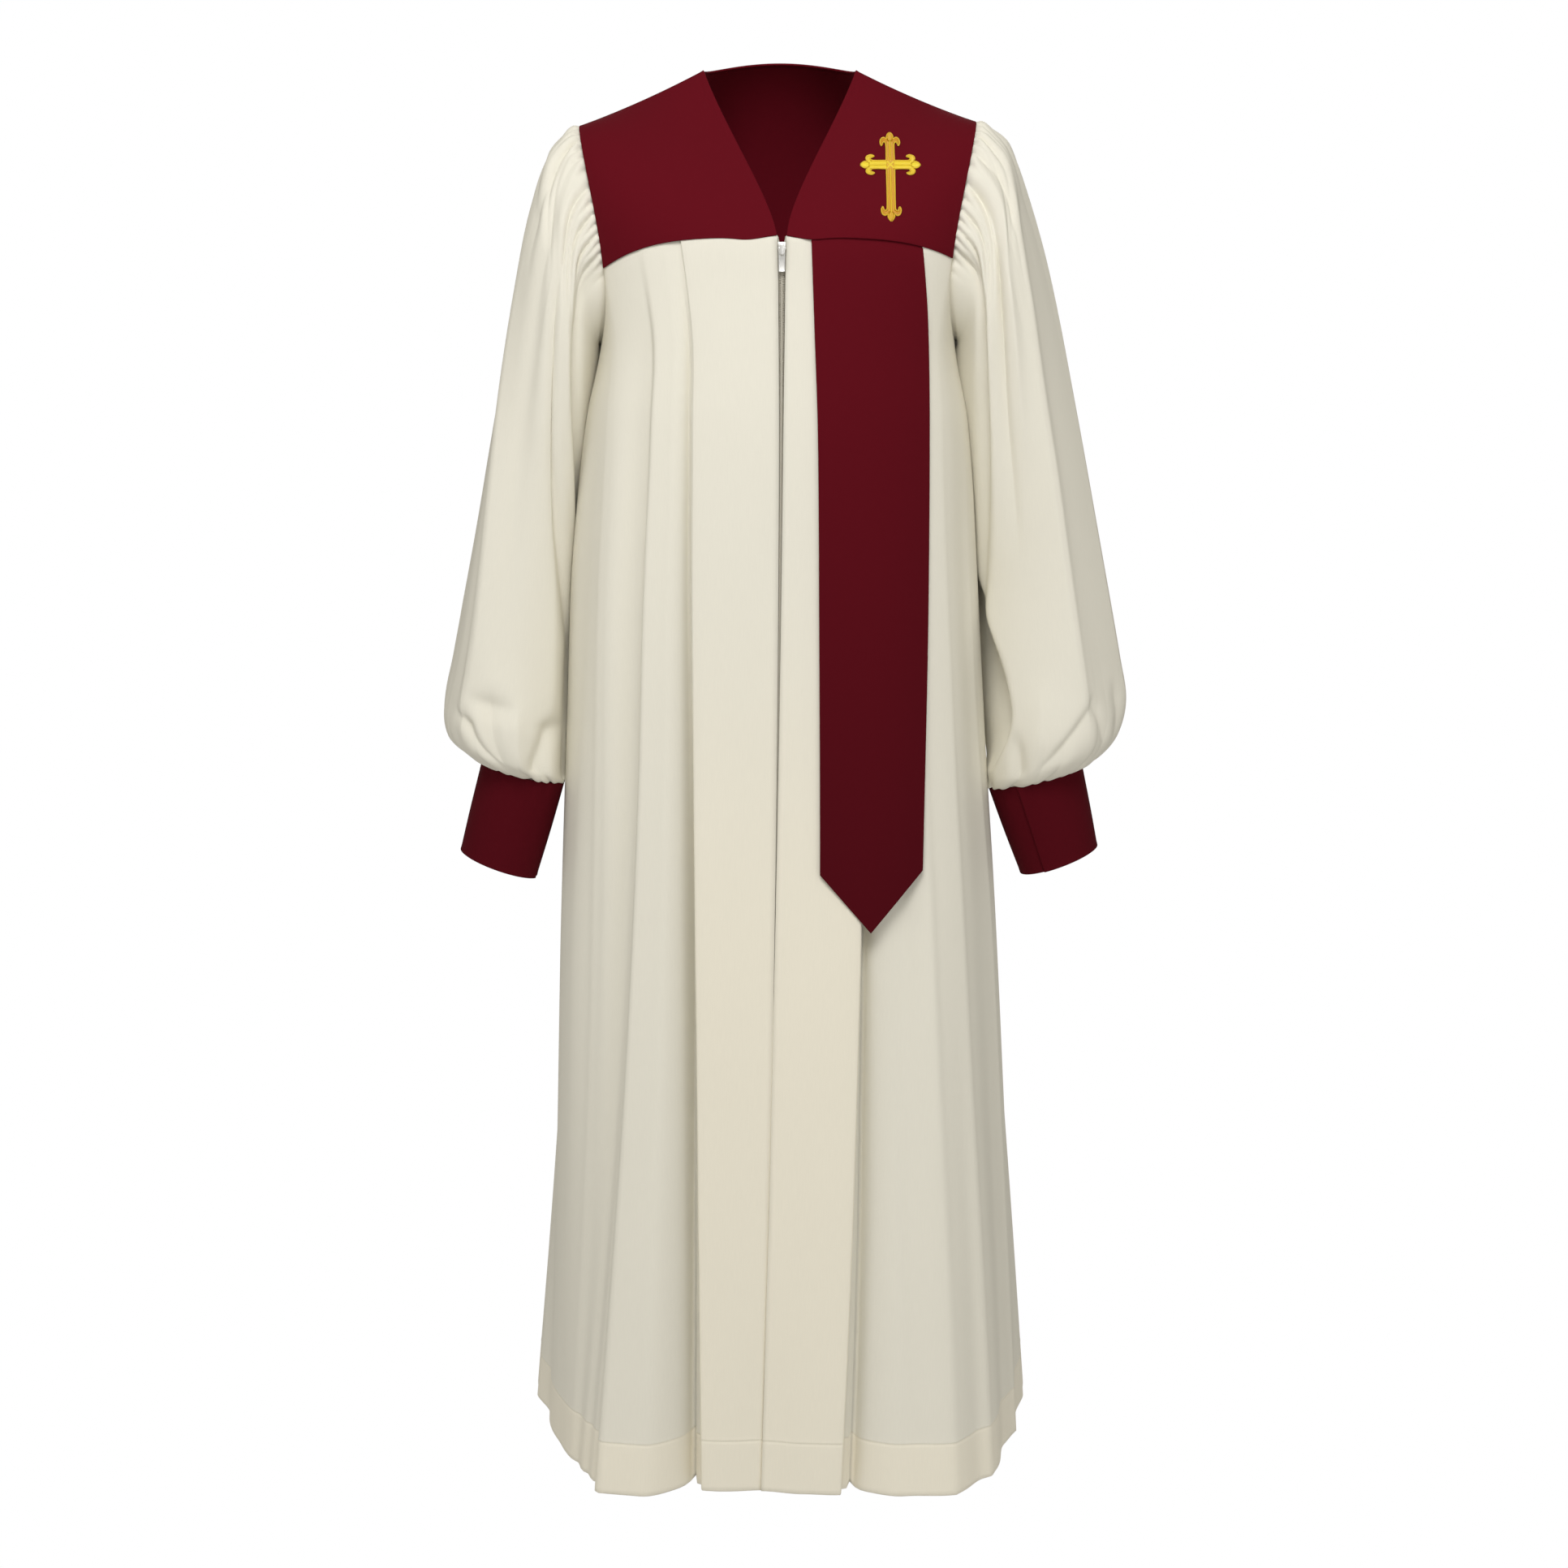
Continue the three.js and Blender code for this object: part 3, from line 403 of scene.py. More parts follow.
def stations(folds, fall, spacing, turned_edge=0.0):
    """Columns across a pleated panel for a column of falls: share, cloth turned back, and rise."""
    half_turn = np.radians(np.linspace(0, 180, 7))[None, :]
    nose = lerp(LAYER_GAP["seam"], LAYER_GAP["below"], ramp(fall, 0.0, 0.12)) / 2
    share, back, rise = [], [], []

    def put(shares, backs, rises):
        for kept, new in ((share, shares), (back, backs), (rise, rises)):
            kept.append(np.broadcast_to(new, (len(fall), np.shape(np.atleast_2d(backs))[-1])))

    if turned_edge:
        first = fold_rise(folds[0], fall)
        inner = np.linspace(-turned_edge, -1.5, 5)[None, :]
        put(folds[0]["top"], inner, first - 1.1)
        put(folds[0]["top"], np.array([[-0.5, 0.0, 0.0]]), first - np.array([[1.0, 0.7, 0.3]]))
    for this, following in zip(folds, folds[1:] + [None]):
        at, height = fold_line(this, fall), fold_rise(this, fall)
        if this["tuck"]:
            put(at, nose - nose * np.sin(half_turn), height - nose + nose * np.cos(half_turn))
            put(at, lerp(nose, this["tuck"], np.linspace(0, 1, 7)[None, 1:-1]), height - 2 * nose)
            put(at, this["tuck"] + nose * np.sin(half_turn), height - 3 * nose + nose * np.cos(half_turn))
            start, start_back, start_rise = at, this["tuck"], height - 4 * nose
        else:
            start, start_back, start_rise = at, 0.0, height
        if following is None:
            put(start, np.zeros((1, 1)), start_rise)
            continue
        wide = abs(following["hem"] - this["hem"]) * PANEL_WIDTH + start_back
        count, passed = max(int(round(wide / spacing)), 3), 1 if this["tuck"] else 0
        t = ((np.arange(count) + passed) / (count + passed))[None, :]
        put(lerp(start, fold_line(following, fall), t), start_back * (1 - t),
            lerp(start_rise, fold_rise(following, fall), ease(t)))
    return (np.concatenate(kept, axis=1) for kept in (share, back, rise))


def piece_from_grid(name, grid, wall, tones=None, wraps=False, out=True, bevel=0.0, grain=0):
    """Cloth of an even wall through a grid of points in mm. Its UV map runs along the weft and the warp
    in metres, true at the grain's column. Tones turn it from its material's first colour to its second, and
    without out its faces turn the other way."""
    height, width = grid.shape[:2]
    reach = np.concatenate([grid, grid[:, :1]], axis=1) if wraps else grid
    weft, warp = np.zeros(reach.shape[:2]), np.zeros(reach.shape[:2])
    weft[:, 1:] = np.cumsum(np.linalg.norm(np.diff(reach, axis=1), axis=2), axis=1)
    warp[1:] = np.cumsum(np.linalg.norm(np.diff(reach, axis=0), axis=2), axis=0)
    weft -= weft[:, grain, None]
    rows, columns = np.meshgrid(np.arange(height - 1), np.arange(reach.shape[1] - 1), indexing="ij")
    corners = [(0, 0), (1, 0), (1, 1), (0, 1)] if out else [(0, 0), (0, 1), (1, 1), (1, 0)]
    row = np.stack([rows + a for a, _ in corners], axis=-1).reshape(-1, 4)
    column = np.stack([columns + b for _, b in corners], axis=-1).reshape(-1, 4)
    mesh = bpy.data.meshes.new(name)
    mesh.from_pydata((grid.reshape(-1, 3) / 1000).tolist(), [], (row * width + column % width).tolist())
    threads = mesh.uv_layers.new(name="threads")
    uv = np.stack([weft[row, column], warp[row, column]], axis=-1) / 1000
    threads.data.foreach_set("uv", uv.reshape(-1))
    if tones is not None:
        tone = mesh.attributes.new("tone", "FLOAT", "POINT")
        tone.data.foreach_set("value", np.broadcast_to(tones, (height, width)).reshape(-1).astype(float))
    mesh.polygons.foreach_set("use_smooth", np.ones(len(mesh.polygons), bool))
    piece = bpy.data.objects.new(name, mesh)
    scene.collection.objects.link(piece)
    bpy.ops.object.select_all(action="DESELECT")
    bpy.context.view_layer.objects.active = piece
    piece.select_set(True)
    shell = piece.modifiers.new("wall", "SOLIDIFY")
    shell.thickness = wall / 1000
    shell.offset = 0
    shell.use_even_offset = True
    bpy.ops.object.modifier_apply(modifier="wall")
    # An even wall runs out to a spike where two folds cross, so no point stands over a wall off its cloth.
    cloth = np.tile(grid.reshape(-1, 3) / 1000, (2, 1))
    faces = np.empty(cloth.size)
    piece.data.vertices.foreach_get("co", faces)
    stand = faces.reshape(-1, 3) - cloth
    far = np.maximum(np.linalg.norm(stand, axis=1, keepdims=True) * 1000 / wall, 1)
    piece.data.vertices.foreach_set("co", (cloth + stand / far).reshape(-1))
    if bevel:
        soften = piece.modifiers.new("rolled", "BEVEL")
        soften.width = bevel / 1000
        soften.segments = 2
        soften.limit_method = "ANGLE"
        soften.angle_limit = math.radians(60)
        bpy.ops.object.modifier_apply(modifier="rolled")
    return piece


class Wire:
    """A shader value. Sums of wires and numbers add their own Math nodes."""

    def __init__(self, tree, socket=None):
        self.tree = tree
        self.socket = socket

    def feed(self, node, inputs):
        for name, value in inputs.items():
            if isinstance(value, Wire):
                self.tree.links.new(value.socket, node.inputs[name])
            else:
                node.inputs[name].default_value = value

    def node(self, kind, settings, inputs, output=0):
        made = self.tree.nodes.new("ShaderNode" + kind)
        for name, value in settings.items():
            setattr(made, name, value)
        self.feed(made, inputs)
        return Wire(self.tree, made.outputs[output])

    def stripes(self, direction, place, pitch):
        """Bands one pitch in metres apart, by a texture whose own are 0.31 m apart."""
        return self.node("TexWave", {"wave_type": "BANDS", "bands_direction": direction},
                         {"Vector": place, "Scale": 0.31 / pitch, "Distortion": 0.0}, output=1)

    def noise(self, place, scale, detail):
        """Unevenness; three scales stretch it along its axes."""
        if isinstance(scale, tuple):
            place, scale = self.node("Mapping", {}, {"Vector": place, "Scale": scale}), 1.0
        return self.node("TexNoise", {}, {"Vector": place, "Scale": scale, "Detail": detail})

    def between(self, share, first, second):
        colours = {0: share, 6: (*first, 1), 7: (*second, 1)}
        return self.node("Mix", {"data_type": "RGBA"}, colours, output=2)

    def dimmed(self, colour, by):
        return self.node("VectorMath", {"operation": "SCALE"}, {0: colour, "Scale": by})

    def bump(self, height, strength, distance):
        return self.node("Bump", {}, {"Strength": strength, "Distance": distance, "Height": height})

    def maths(self, operation, first, second):
        return self.node("Math", {"operation": operation}, {0: first, 1: second})

    def __add__(self, other):
        return self.maths("ADD", self, other)

    __radd__ = __add__

    def __sub__(self, other):
        return self.maths("SUBTRACT", self, other)

    def __rsub__(self, other):
        return self.maths("SUBTRACT", other, self)

    def __mul__(self, other):
        return self.maths("MULTIPLY", self, other)

    __rmul__ = __mul__


def new_material(name):
    """A material, its wire and its shader node."""
    material = bpy.data.materials.new(name)
    material.use_nodes = True
    return material, Wire(material.node_tree), material.node_tree.nodes["Principled BSDF"]


def twill(name, colours, thread, roughness, specular):
    """Woven cloth: a fine diagonal rib on the piece's threads, faint slubs, and a colour that turns
    from the first to the second with the piece's tone."""
    material, wire, shader = new_material(name)
    uv = wire.node("UVMap", {"uv_map": "threads"}, {})
    tone = wire.node("Attribute", {"attribute_name": "tone"}, {}, output=2)
    rib = wire.stripes("DIAGONAL", uv, thread)
    slub = wire.noise(uv, (900, 60, 1), 2.0)
    cloud = wire.noise(uv, (9, 4, 1), 3.0)
    depth = 0.955 + rib * 0.03 + slub * 0.05 + cloud * 0.03
    wire.feed(shader, {
        "Base Color": wire.dimmed(wire.between(tone, *colours), depth),
        "Roughness": roughness + slub * 0.1,
        "Normal": wire.bump(rib * 0.7 + slub * 0.6, 0.25, 0.0002),
        "Specular IOR Level": specular,
    })
    return material


CREAM = twill("cream_gabardine", ((0.79, 0.76, 0.66), (0.85, 0.80, 0.67)), 0.00045, 0.72, 0.3)
HEM_DEPTH = 50


def dress(piece, material, body, nodes):
    """A finished piece's material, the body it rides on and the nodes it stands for."""
    piece.data.materials.clear()
    piece.data.materials.append(material)
    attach(piece, body)
    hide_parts(*nodes)


PANEL_DROP = 1195
FRONT_TOP, BACK_TOP = -165, -175
FRONT_GRID = {"rows": 4.2, "columns": 4.2}


def panel_rows(spacing):
    """Falls down a panel, from under the yoke to the hem and up its turning, with how far in each
    row lies from the outer face, and 1 where the hem makes the cloth double."""
    tucked = np.array([-0.007, -0.0045, -0.002])
    stitching = 1 - (HEM_DEPTH + np.array([-4.0, -2.5, -1.5, -0.7, 0, 0.7, 1.5])) / PANEL_DROP
    outer = np.sort(np.concatenate([np.linspace(0, 1, int(PANEL_DROP / spacing)), stitching]))
    turning = np.linspace(0.9993, 1 - HEM_DEPTH / PANEL_DROP, 14)
    falls = np.concatenate([tucked, outer, [1.0006], turning])
    above_hem = (1 - outer) * PANEL_DROP - HEM_DEPTH
    sewn = 0.6 * bell(above_hem + 1.5, 1.3) - 0.25 * bell(above_hem - 0.7, 0.9)
    under_yoke = 1.1 * np.exp(-outer * PANEL_DROP / 9)
    sinks = np.concatenate([[5.5, 3.8, 2.2], under_yoke + sewn, [0.75], np.full(len(turning), 1.5)])
    doubled = ramp(falls, 1 - (HEM_DEPTH + 1) / PANEL_DROP, 1 - (HEM_DEPTH - 1) / PANEL_DROP)
    return falls[:, None], sinks[:, None], doubled[:, None]


def side_seam(share):
    """How far the cloth dips into its seam at the side."""
    return 1.3 * bell((1 - share) * PANEL_WIDTH, 2.5)


def front_pleat(side):
    return next(fold for fold in FRONT_FOLDS[side] if fold["tuck"])


def wavy(z, walked, amount):
    """Slow unevenness of hanging cloth, longer down than across."""
    return amount * (
        np.sin(walked / 23 + 1.3 * np.sin(z / 210) + 0.6) * np.sin(z / 260 + 0.9)
        + 0.6 * np.sin(walked / 41 - 0.8 * np.sin(z / 150 + 2.0))
    )


for side, word in SIDES.items():
    falls, sinks, doubled = panel_rows(FRONT_GRID["rows"])
    share, back, rise = stations(FRONT_FOLDS[side], falls, FRONT_GRID["columns"], turned_edge=12.0)
    calm = ramp(share, 0.0, 0.12) * ramp(1 - share, 0.0, 0.05) * ramp(falls, 0.0, 0.1)
    wave = wavy(lerp(FRONT_TOP, HEM, falls), share * PANEL_WIDTH, 0.8)
    rise = rise + (creases(CREASES[side], share, np.clip(falls, 0, 1)) + wave) * calm
    rise = rise - sinks - side_seam(share)
    if side == LEFT:
        # The cloth dips where the stole panel is sewn over it.
        under_stole = ramp(share, 0.05, 0.09) * ramp(0.5 - share, 0.0, 0.06)
        rise = rise - 2.6 * under_stole * np.exp(-np.maximum(falls, 0) * PANEL_DROP / 14)
    level = np.where(falls < 0, falls * lerp(0.06, 1, ramp(share, 0.008, 0.03)), falls)
    grid = panel_point(side, 1, share, level, back, rise)
    pleat_edge = fold_line(front_pleat(side), falls)
    centre_panel = (1 - ramp(share, pleat_edge + 0.001, pleat_edge + 0.006)) * ramp(falls, 0.2, 0.6)
    piece = piece_from_grid(
        "skirt_front_" + word, grid, CREAM_WALL, np.maximum(doubled, centre_panel), out=side == LEFT)
    dress(piece, CREAM, "robe", ["body_front_" + word])

# ---- Skirt back
# One wide panel of the same gabardine, with a knife pleat each side of the centre and five soft
# flutes. Its turned-up hem meets the fronts' at the side seams.
BACK_FOLDS = table(FOLD_COLUMNS, [
    (0.0, 0.0, 0, 3, 4, 6, 0),
    (0.12, 0.1, 0, 0, -2, -4, 0),
    (0.26, 0.2, 0.5, 4, 6, 5, 18),
    (0.27, 0.215, -2, -7, -14, -12, 0),
    (0.42, 0.38, -0.5, 1, 4, 14, 0),
    (0.6, 0.58, 0, -2, -5, -18, 0),
    (0.76, 0.74, 0, 1, 3, 8, 0),
    (0.88, 0.87, 0, 4, 3, 4, 0),
    (1.0, 1.0, 0, -6, -5, 0, 0),
])
BACK_GRID = {"rows": 5.8, "columns": 5.6}
falls, sinks, doubled = panel_rows(BACK_GRID["rows"])
share, back, rise = stations(BACK_FOLDS, falls, BACK_GRID["columns"])
calm = ramp(1 - share, 0.0, 0.05) * ramp(falls, 0.0, 0.1)
halves = {}
for side in SIDES:
    wave = wavy(lerp(BACK_TOP, HEM, falls), side * share * PANEL_WIDTH + 90, 0.5) * calm
    halves[side] = panel_point(side, -1, share, falls, back, rise + wave - sinks - side_seam(share))
grid = np.concatenate([halves[RIGHT][:, :0:-1], halves[LEFT]], axis=1)
skirt_back = piece_from_grid("skirt_back", grid, CREAM_WALL, doubled)
dress(skirt_back, CREAM, "robe", ["body_back"])

# ---- Yoke
# Lined burgundy cloth in three pieces that meet along the shoulders. The neck edges are turned and
# understitched, and the lower edge laps over the gathered tops of the skirt panels.
NECK_HALF = 72.5
YOKE_WALL = 1.9
EDGE_ROLL = 0.35
# The burgundy's second colour is a darker copy of the first: painted shade, used for the cuffs and the
# stole's lower part.
BURGUNDY = twill("burgundy_twill", ((0.114, 0.0033, 0.009), (0.062, 0.0018, 0.0052)), 0.00045, 0.85, 0.08)


def shoulder_seam(side, t):
    t = np.asarray(t, float)[..., None]
    start, tip = np.array([side * NECK_HALF, 0, 0.0]), armhole(side, 0)
    return lerp(start, tip, t) + np.array([0, 0, -9.6]) * t * (1 - t)


def neck_edge(side, t):
    """The V from the shoulder seam down to the zip."""
    t = np.asarray(t, float)[..., None]
    points = (
        np.array([side * NECK_HALF, 0.0, 0.0]),
        np.array([side * 52.0, -45.0, -56.0]),
        np.array([side * 8.0, -100.0, -122.0]),
        yoke_edge(side, 0.0, 1),
    )
    weights = ((1 - t) ** 3, 3 * t * (1 - t) ** 2, 3 * t ** 2 * (1 - t), t ** 3)
    return sum(weight * point for weight, point in zip(weights, points))


def patch(top, bottom, start, end, across, down):
    """A surface through four edges."""
    a, d = across[..., None], down[..., None]
    zero, one = np.zeros(1), np.ones(1)
    sides = lerp(start(down), end(down), a)
    ends = lerp(top(across), bottom(across), d)
    corners = lerp(lerp(start(zero), end(zero), a), lerp(start(one), end(one), a), d)
    return sides + ends - corners


def front_yoke(side, across, down):
    across, down = np.broadcast_arrays(np.asarray(across, float), np.asarray(down, float))
    return patch(
        lambda t: shoulder_seam(side, t),
        lambda t: yoke_edge(side, t, 1),
        lambda t: neck_edge(side, t),
        lambda t: armhole(side, YOKE_CORNER[side] * t),
        across, down,
    )


def unit(vectors):
    return vectors / np.linalg.norm(vectors, axis=-1, keepdims=True)


def stood_out(surface, across, down, rise):
    """Points of a surface moved out along its normal."""
    step = 0.002
    point = surface(across, down)
    aside = surface(across + step, down) - surface(across - step, down)
    below = surface(across, down + step) - surface(across, down - step)
    return point + unit(np.cross(below, aside)) * np.asarray(rise)[..., None]


def edge_roll(distance):
    """A turned edge, thicker than the cloth, with the understitched line behind it."""
    return EDGE_ROLL * (bell(distance, 3.2) - bell(distance - 6.5, 0.9))


def stepped(stops, counts):
    """Even steps from stop to stop, so many between each two."""
    runs = zip(stops, stops[1:], counts)
    return np.concatenate([*(np.linspace(*run, endpoint=False) for run in runs), [stops[-1]]])


for side, word in SIDES.items():
    across, down = np.meshgrid(np.linspace(0, 1, 64), np.linspace(0, 1, 64))
    width = lerp(125, 188, down)
    rise = edge_roll(across * width)
    rise = rise + 0.5 * np.sin(across * 7 + 1.0) * np.sin(down * 4) * np.sin(math.pi * across)
    grid = stood_out(lambda a, d: front_yoke(side, a, d), across, down, rise * side)
    piece = piece_from_grid("yoke_" + word, grid, YOKE_WALL, out=side == LEFT, bevel=0.6)
    dress(piece, BURGUNDY, "robe", ["yoke_front_" + word])
    side == RIGHT  # this comparison's result is not used

SHOULDER_SHARE = 0.31


def back_yoke_top(t):
    t = np.asarray(t, float)
    angle = np.radians(np.clip(180 * (t - SHOULDER_SHARE) / (1 - 2 * SHOULDER_SHARE), 0, 180))
    neck = vector(-NECK_HALF * np.cos(angle), 75 * np.sin(angle), 13 * np.sin(angle) ** 2)
    right = shoulder_seam(RIGHT, 1 - t / SHOULDER_SHARE)
    left = shoulder_seam(LEFT, 1 - (1 - t) / SHOULDER_SHARE)
    return np.where((t < SHOULDER_SHARE)[..., None], right,
                    np.where((t > 1 - SHOULDER_SHARE)[..., None], left, neck))


def back_yoke_bottom(t):
    t = np.asarray(t, float)
    share = np.abs(2 * t - 1)
    return np.where((t < 0.5)[..., None], yoke_edge(RIGHT, share, -1), yoke_edge(LEFT, share, -1))


def back_yoke(across, down):
    point = patch(
        back_yoke_top,
        back_yoke_bottom,
        lambda t: armhole(RIGHT, -YOKE_CORNER[RIGHT] * t),
        lambda t: armhole(LEFT, -YOKE_CORNER[LEFT] * t),
        across, down,
    )
    neckline = back_yoke_top(across)[..., 1] * (1 - down) * down
    crown = 20 * np.sin(math.pi * across) * np.sin(math.pi * down)
    point[..., 1] += crown - neckline
    return point


columns = stepped([0, SHOULDER_SHARE, 1 - SHOULDER_SHARE, 1], [35, 60, 35])
across, down = np.meshgrid(columns, np.linspace(0, 1, 70))
at_neck = ramp(np.minimum(across, 1 - across), SHOULDER_SHARE, 0.36)
grid = stood_out(back_yoke, across, down, at_neck * edge_roll(down * 150))
yoke_back = piece_from_grid("yoke_back_panel", grid, YOKE_WALL, out=False, bevel=0.6)
dress(yoke_back, BURGUNDY, "robe", ["yoke_back"])

# ---- Sleeves
# Bishop sleeves of the same gabardine: gathered under the yoke's edge over the shoulder, plain under
# the arm, hanging in long soft folds, and gathered again into the cuff, which they puff over. Each ring
# down a sleeve has an outer and an inner edge, half its depth, and how far back it lies.
SLEEVES = {
    RIGHT: table("out_x out_z in_x in_z depth y", [
        (204, -57, 176.5, -266, 77, 0),
        (222, -74, 180, -284, 80, 0),
        (240, -122, 185, -312, 82, 0),
        (256, -195, 190.5, -350, 80, 2),
        (281, -315, 199.5, -430, 76, 6),
        (305, -444, 205, -520, 76, 7),
        (328, -562, 208.5, -605, 78, 5),
        (337, -612, 210.5, -650, 78, 2),
        (329, -640, 212, -677, 70, -3),
        (310, -657, 213, -684, 54, -7),
        (293.5, -666, 214, -686, 40, -8),
    ]),
    LEFT: table("out_x out_z in_x in_z depth y", [
        (200, -53, 174.5, -262, 77, 0),
        (220, -69, 177.5, -280, 80, 0),
        (240, -118, 181, -308, 82, 0),
        (262, -193, 185, -345, 81, 2),
        (289, -318, 190, -430, 78, 4),
        (314, -444, 194, -520, 77, 4),
        (337, -565, 199, -605, 80, 2),
        (343, -606, 202, -650, 80, 0),
        (335, -638, 205, -680, 71, -4),
        (316, -661, 207, -690, 55, -7),
        (297.5, -670, 208, -692, 41, -8),
    ]),
}


def sleeve_controls(side, angle):
    """Rings from the armhole to the cuff, angle 0 outside, 90 in front, 180 inside and 270 behind."""
    turn = np.radians(angle)[:, None]
    head = armhole(side, angle)
    head[:, 0] += side * (1 + (1 - np.cos(turn[:, 0])) / 2)
    rings = [head]
    for row in SLEEVES[side]:
        outside = np.array([side * row["out_x"], row["y"], row["out_z"]])
        inside = np.array([side * row["in_x"], row["y"], row["in_z"]])
        across, forward = (outside - inside) / 2, np.array([0, -row["depth"], 0])
        rings.append((outside + inside) / 2 + across * np.cos(turn) + forward * np.sin(turn))
    return np.array(rings)


def sleeve_base(side, angle, down):
    """The sleeve without its folds, down mm from the armhole, and its whole length."""
    rings = sleeve_controls(side, angle)
    gaps = np.linalg.norm(np.diff(rings, axis=0), axis=2).mean(axis=1)
    knots = np.concatenate([[0], np.cumsum(gaps)])
    return through(knots, rings, down), knots[-1]


# Long folds: width before and after the fold's line in mm, how crisp its line is, and its course as
# mm down the sleeve, angle round it, and height. A valley's height is below 0.
FOLD_SHAPE = "before after crisp course"
LONG_FOLDS = {
    RIGHT: table(FOLD_SHAPE, [
        (9, 20, 0.45, [(0, 16, 0), (60, 24, 1), (160, 34, 2.5), (304, 47, 3), (432, 56, 2), (500, 53, 1),
                       (550, 54, 0)]),
        (17, 9, 0.4, [(0, 80, 0), (60, 90, -4), (116, 100, -7), (192, 116, -8), (280, 140, -9),
                      (400, 164, -4)]),
        (12, 12, 0.4, [(20, 96, 1), (76, 112, 4), (150, 128, 4), (260, 158, 2), (330, 172, 0)]),
        (12, 12, 0.2, [(10, 110, -2), (60, 126, -7), (140, 146, -8), (240, 168, -5), (330, 180, 0)]),
        (16, 16, 0.0, [(10, 58, -2), (100, 68, -3.5), (230, 76, -2.5), (400, 84, -1), (470, 88, 0)]),
        (9, 9, 0.3, [(5, 40, -2), (50, 46, -3), (120, 50, 0)]),
        (14, 10, 0.1, [(60, 12, 0), (160, 20, -3), (304, 28, -4), (432, 40, -3), (500, 44, 0)]),
        (45, 45, 0.0, [(0, 185, 0), (30, 185, 4), (120, 182, 4), (230, 180, 2), (330, 180, 0)]),
    ]),
    LEFT: table(FOLD_SHAPE, [
        (8, 20, 0.5, [(0, 30, 0), (24, 40, 1), (88, 60, 2), (164, 66, 2), (300, 66, 2), (476, 68, 1.5),
                      (530, 64, 0)]),
        (8, 15, 0.5, [(0, 66, -2), (24, 74, -5), (76, 92, -8), (156, 106, -6), (260, 110, -3),
                      (340, 112, 0)]),
        (10, 10, 0.5, [(0, 54, 1), (30, 62, 3), (76, 80, 4), (156, 90, 3), (260, 94, 0)]),
        (7, 7, 0.5, [(0, 48, -1), (30, 52, -3), (80, 62, -2), (130, 68, 0)]),
        (12, 12, 0.2, [(0, 104, -3), (36, 112, -6), (76, 126, -8), (212, 142, -8), (330, 156, -6),
                       (400, 165, 0)]),
        (10, 10, 0.4, [(10, 94, 2), (60, 108, 4), (130, 122, 4), (260, 132, 2), (330, 140, 0)]),
        (6, 55, 0.0, [(300, 182, 0), (350, 168, -8), (420, 148, -20), (470, 139, -24), (505, 139, -20),
                      (548, 160, 0)]),
        (45, 45, 0.0, [(0, 185, 0), (30, 185, 8), (120, 182, 7), (230, 180, 2), (330, 180, 0)]),
    ]),
}
BACK_LONG_FOLDS = table(FOLD_SHAPE, [
    (24, 30, 0.0, [(20, 200, 0), (80, 208, 8), (200, 212, 8), (480, 214, 8), (540, 214, 0)]),
    (24, 18, 0.3, [(0, 248, -1), (150, 258, -8), (400, 262, -8), (557, 264, 0)]),
    (9, 22, 0.9, [(40, 276, 0), (120, 282, 2), (300, 285, 3), (500, 290, 0)]),
    (26, 20, 0.2, [(0, 305, -1), (150, 310, -8), (400, 312, -7), (557, 318, 0)]),
])
# Where the cloth hangs flat between two lines: mm down the sleeve, their two angles, and how flat.
FLATS = {
    RIGHT: (
        [(0, -20, 14, 0.0), (60, -20, 24, 0.6), (160, -16, 34, 0.8), (304, -14, 47, 0.85),
         (500, -10, 53, 0.7), (550, -6, 54, 0)],
        [(60, 36, 90, 0.0), (160, 38, 105, 0.35), (304, 50, 132, 0.5), (432, 58, 140, 0.45),
         (510, 56, 140, 0.0)],
    ),
    LEFT: (
        [(0, 0, 36, 0.0), (60, 6, 56, 0.6), (160, 12, 66, 0.85), (300, 15, 66, 0.9),
         (500, 14, 66, 0.8), (550, 10, 64, 0)],
        [(100, 68, 104, 0.0), (200, 70, 128, 0.4), (330, 70, 150, 0.6), (450, 70, 140, 0.5),
         (530, 68, 134, 0.0)],
    ),
}
# Dents above the cuff, each a stroke from one angle and mm down the sleeve to another.
DENT_SHAPE = "angle down to_angle to_down height before after"
DENTS = {
    RIGHT: table(DENT_SHAPE, [
        (64, 494, 100, 490, -5, 8, 14),
        (79, 488, 91, 556, -6, 13, 12),
        (128, 502, 156, 498, -3, 7, 12),
        (142, 494, 118, 556, -6, 12, 9),
        (46, 512, 66, 518, -3, 4, 9),
        (58, 512, 82, 556, -5, 7, 8),
        (106, 492, 108, 552, 2.5, 8, 8),
    ]),
    LEFT: table(DENT_SHAPE, [
        (64, 506, 100, 550, -4.5, 5, 15),
        (62, 500, 44, 552, -3.5, 7, 7),
        (128, 518, 124, 560, -4.5, 9, 9),
        (104, 480, 108, 535, 2, 12, 12),
        (30, 500, 26, 550, -3, 10, 10),
    ]),
}
BACK_DENTS = table(DENT_SHAPE, [
    (230, 480, 236, 535, -5, 9, 9),
    (268, 460, 262, 530, -5, 9, 12),
    (300, 490, 306, 540, -5, 8, 8),
    (330, 470, 338, 530, -4, 9, 9),
])
HEAD_GATHERS = {"count": 52, "depth": 5.4, "reach": 14, "slant": 0.6}
CUFF_GATHERS = {"count": 21, "depth": 3.6, "reach": 11, "slant": 0.0}
MERGES = ((2, 0.0, -6, 4, 1.0, 1.0), (4, 0.8, 0, 12, 2.8, 1.3), (8, 0.3, 8, 36, 6.0, 1.5))


def wrapped(angle):
    return (angle + 180) % 360 - 180


def course_at(course, down):
    """The values of a course, each as a column, at mm down the sleeve."""
    place, *values = np.array(course, float).T
    return [through(place, value, down)[:, None] for value in values]


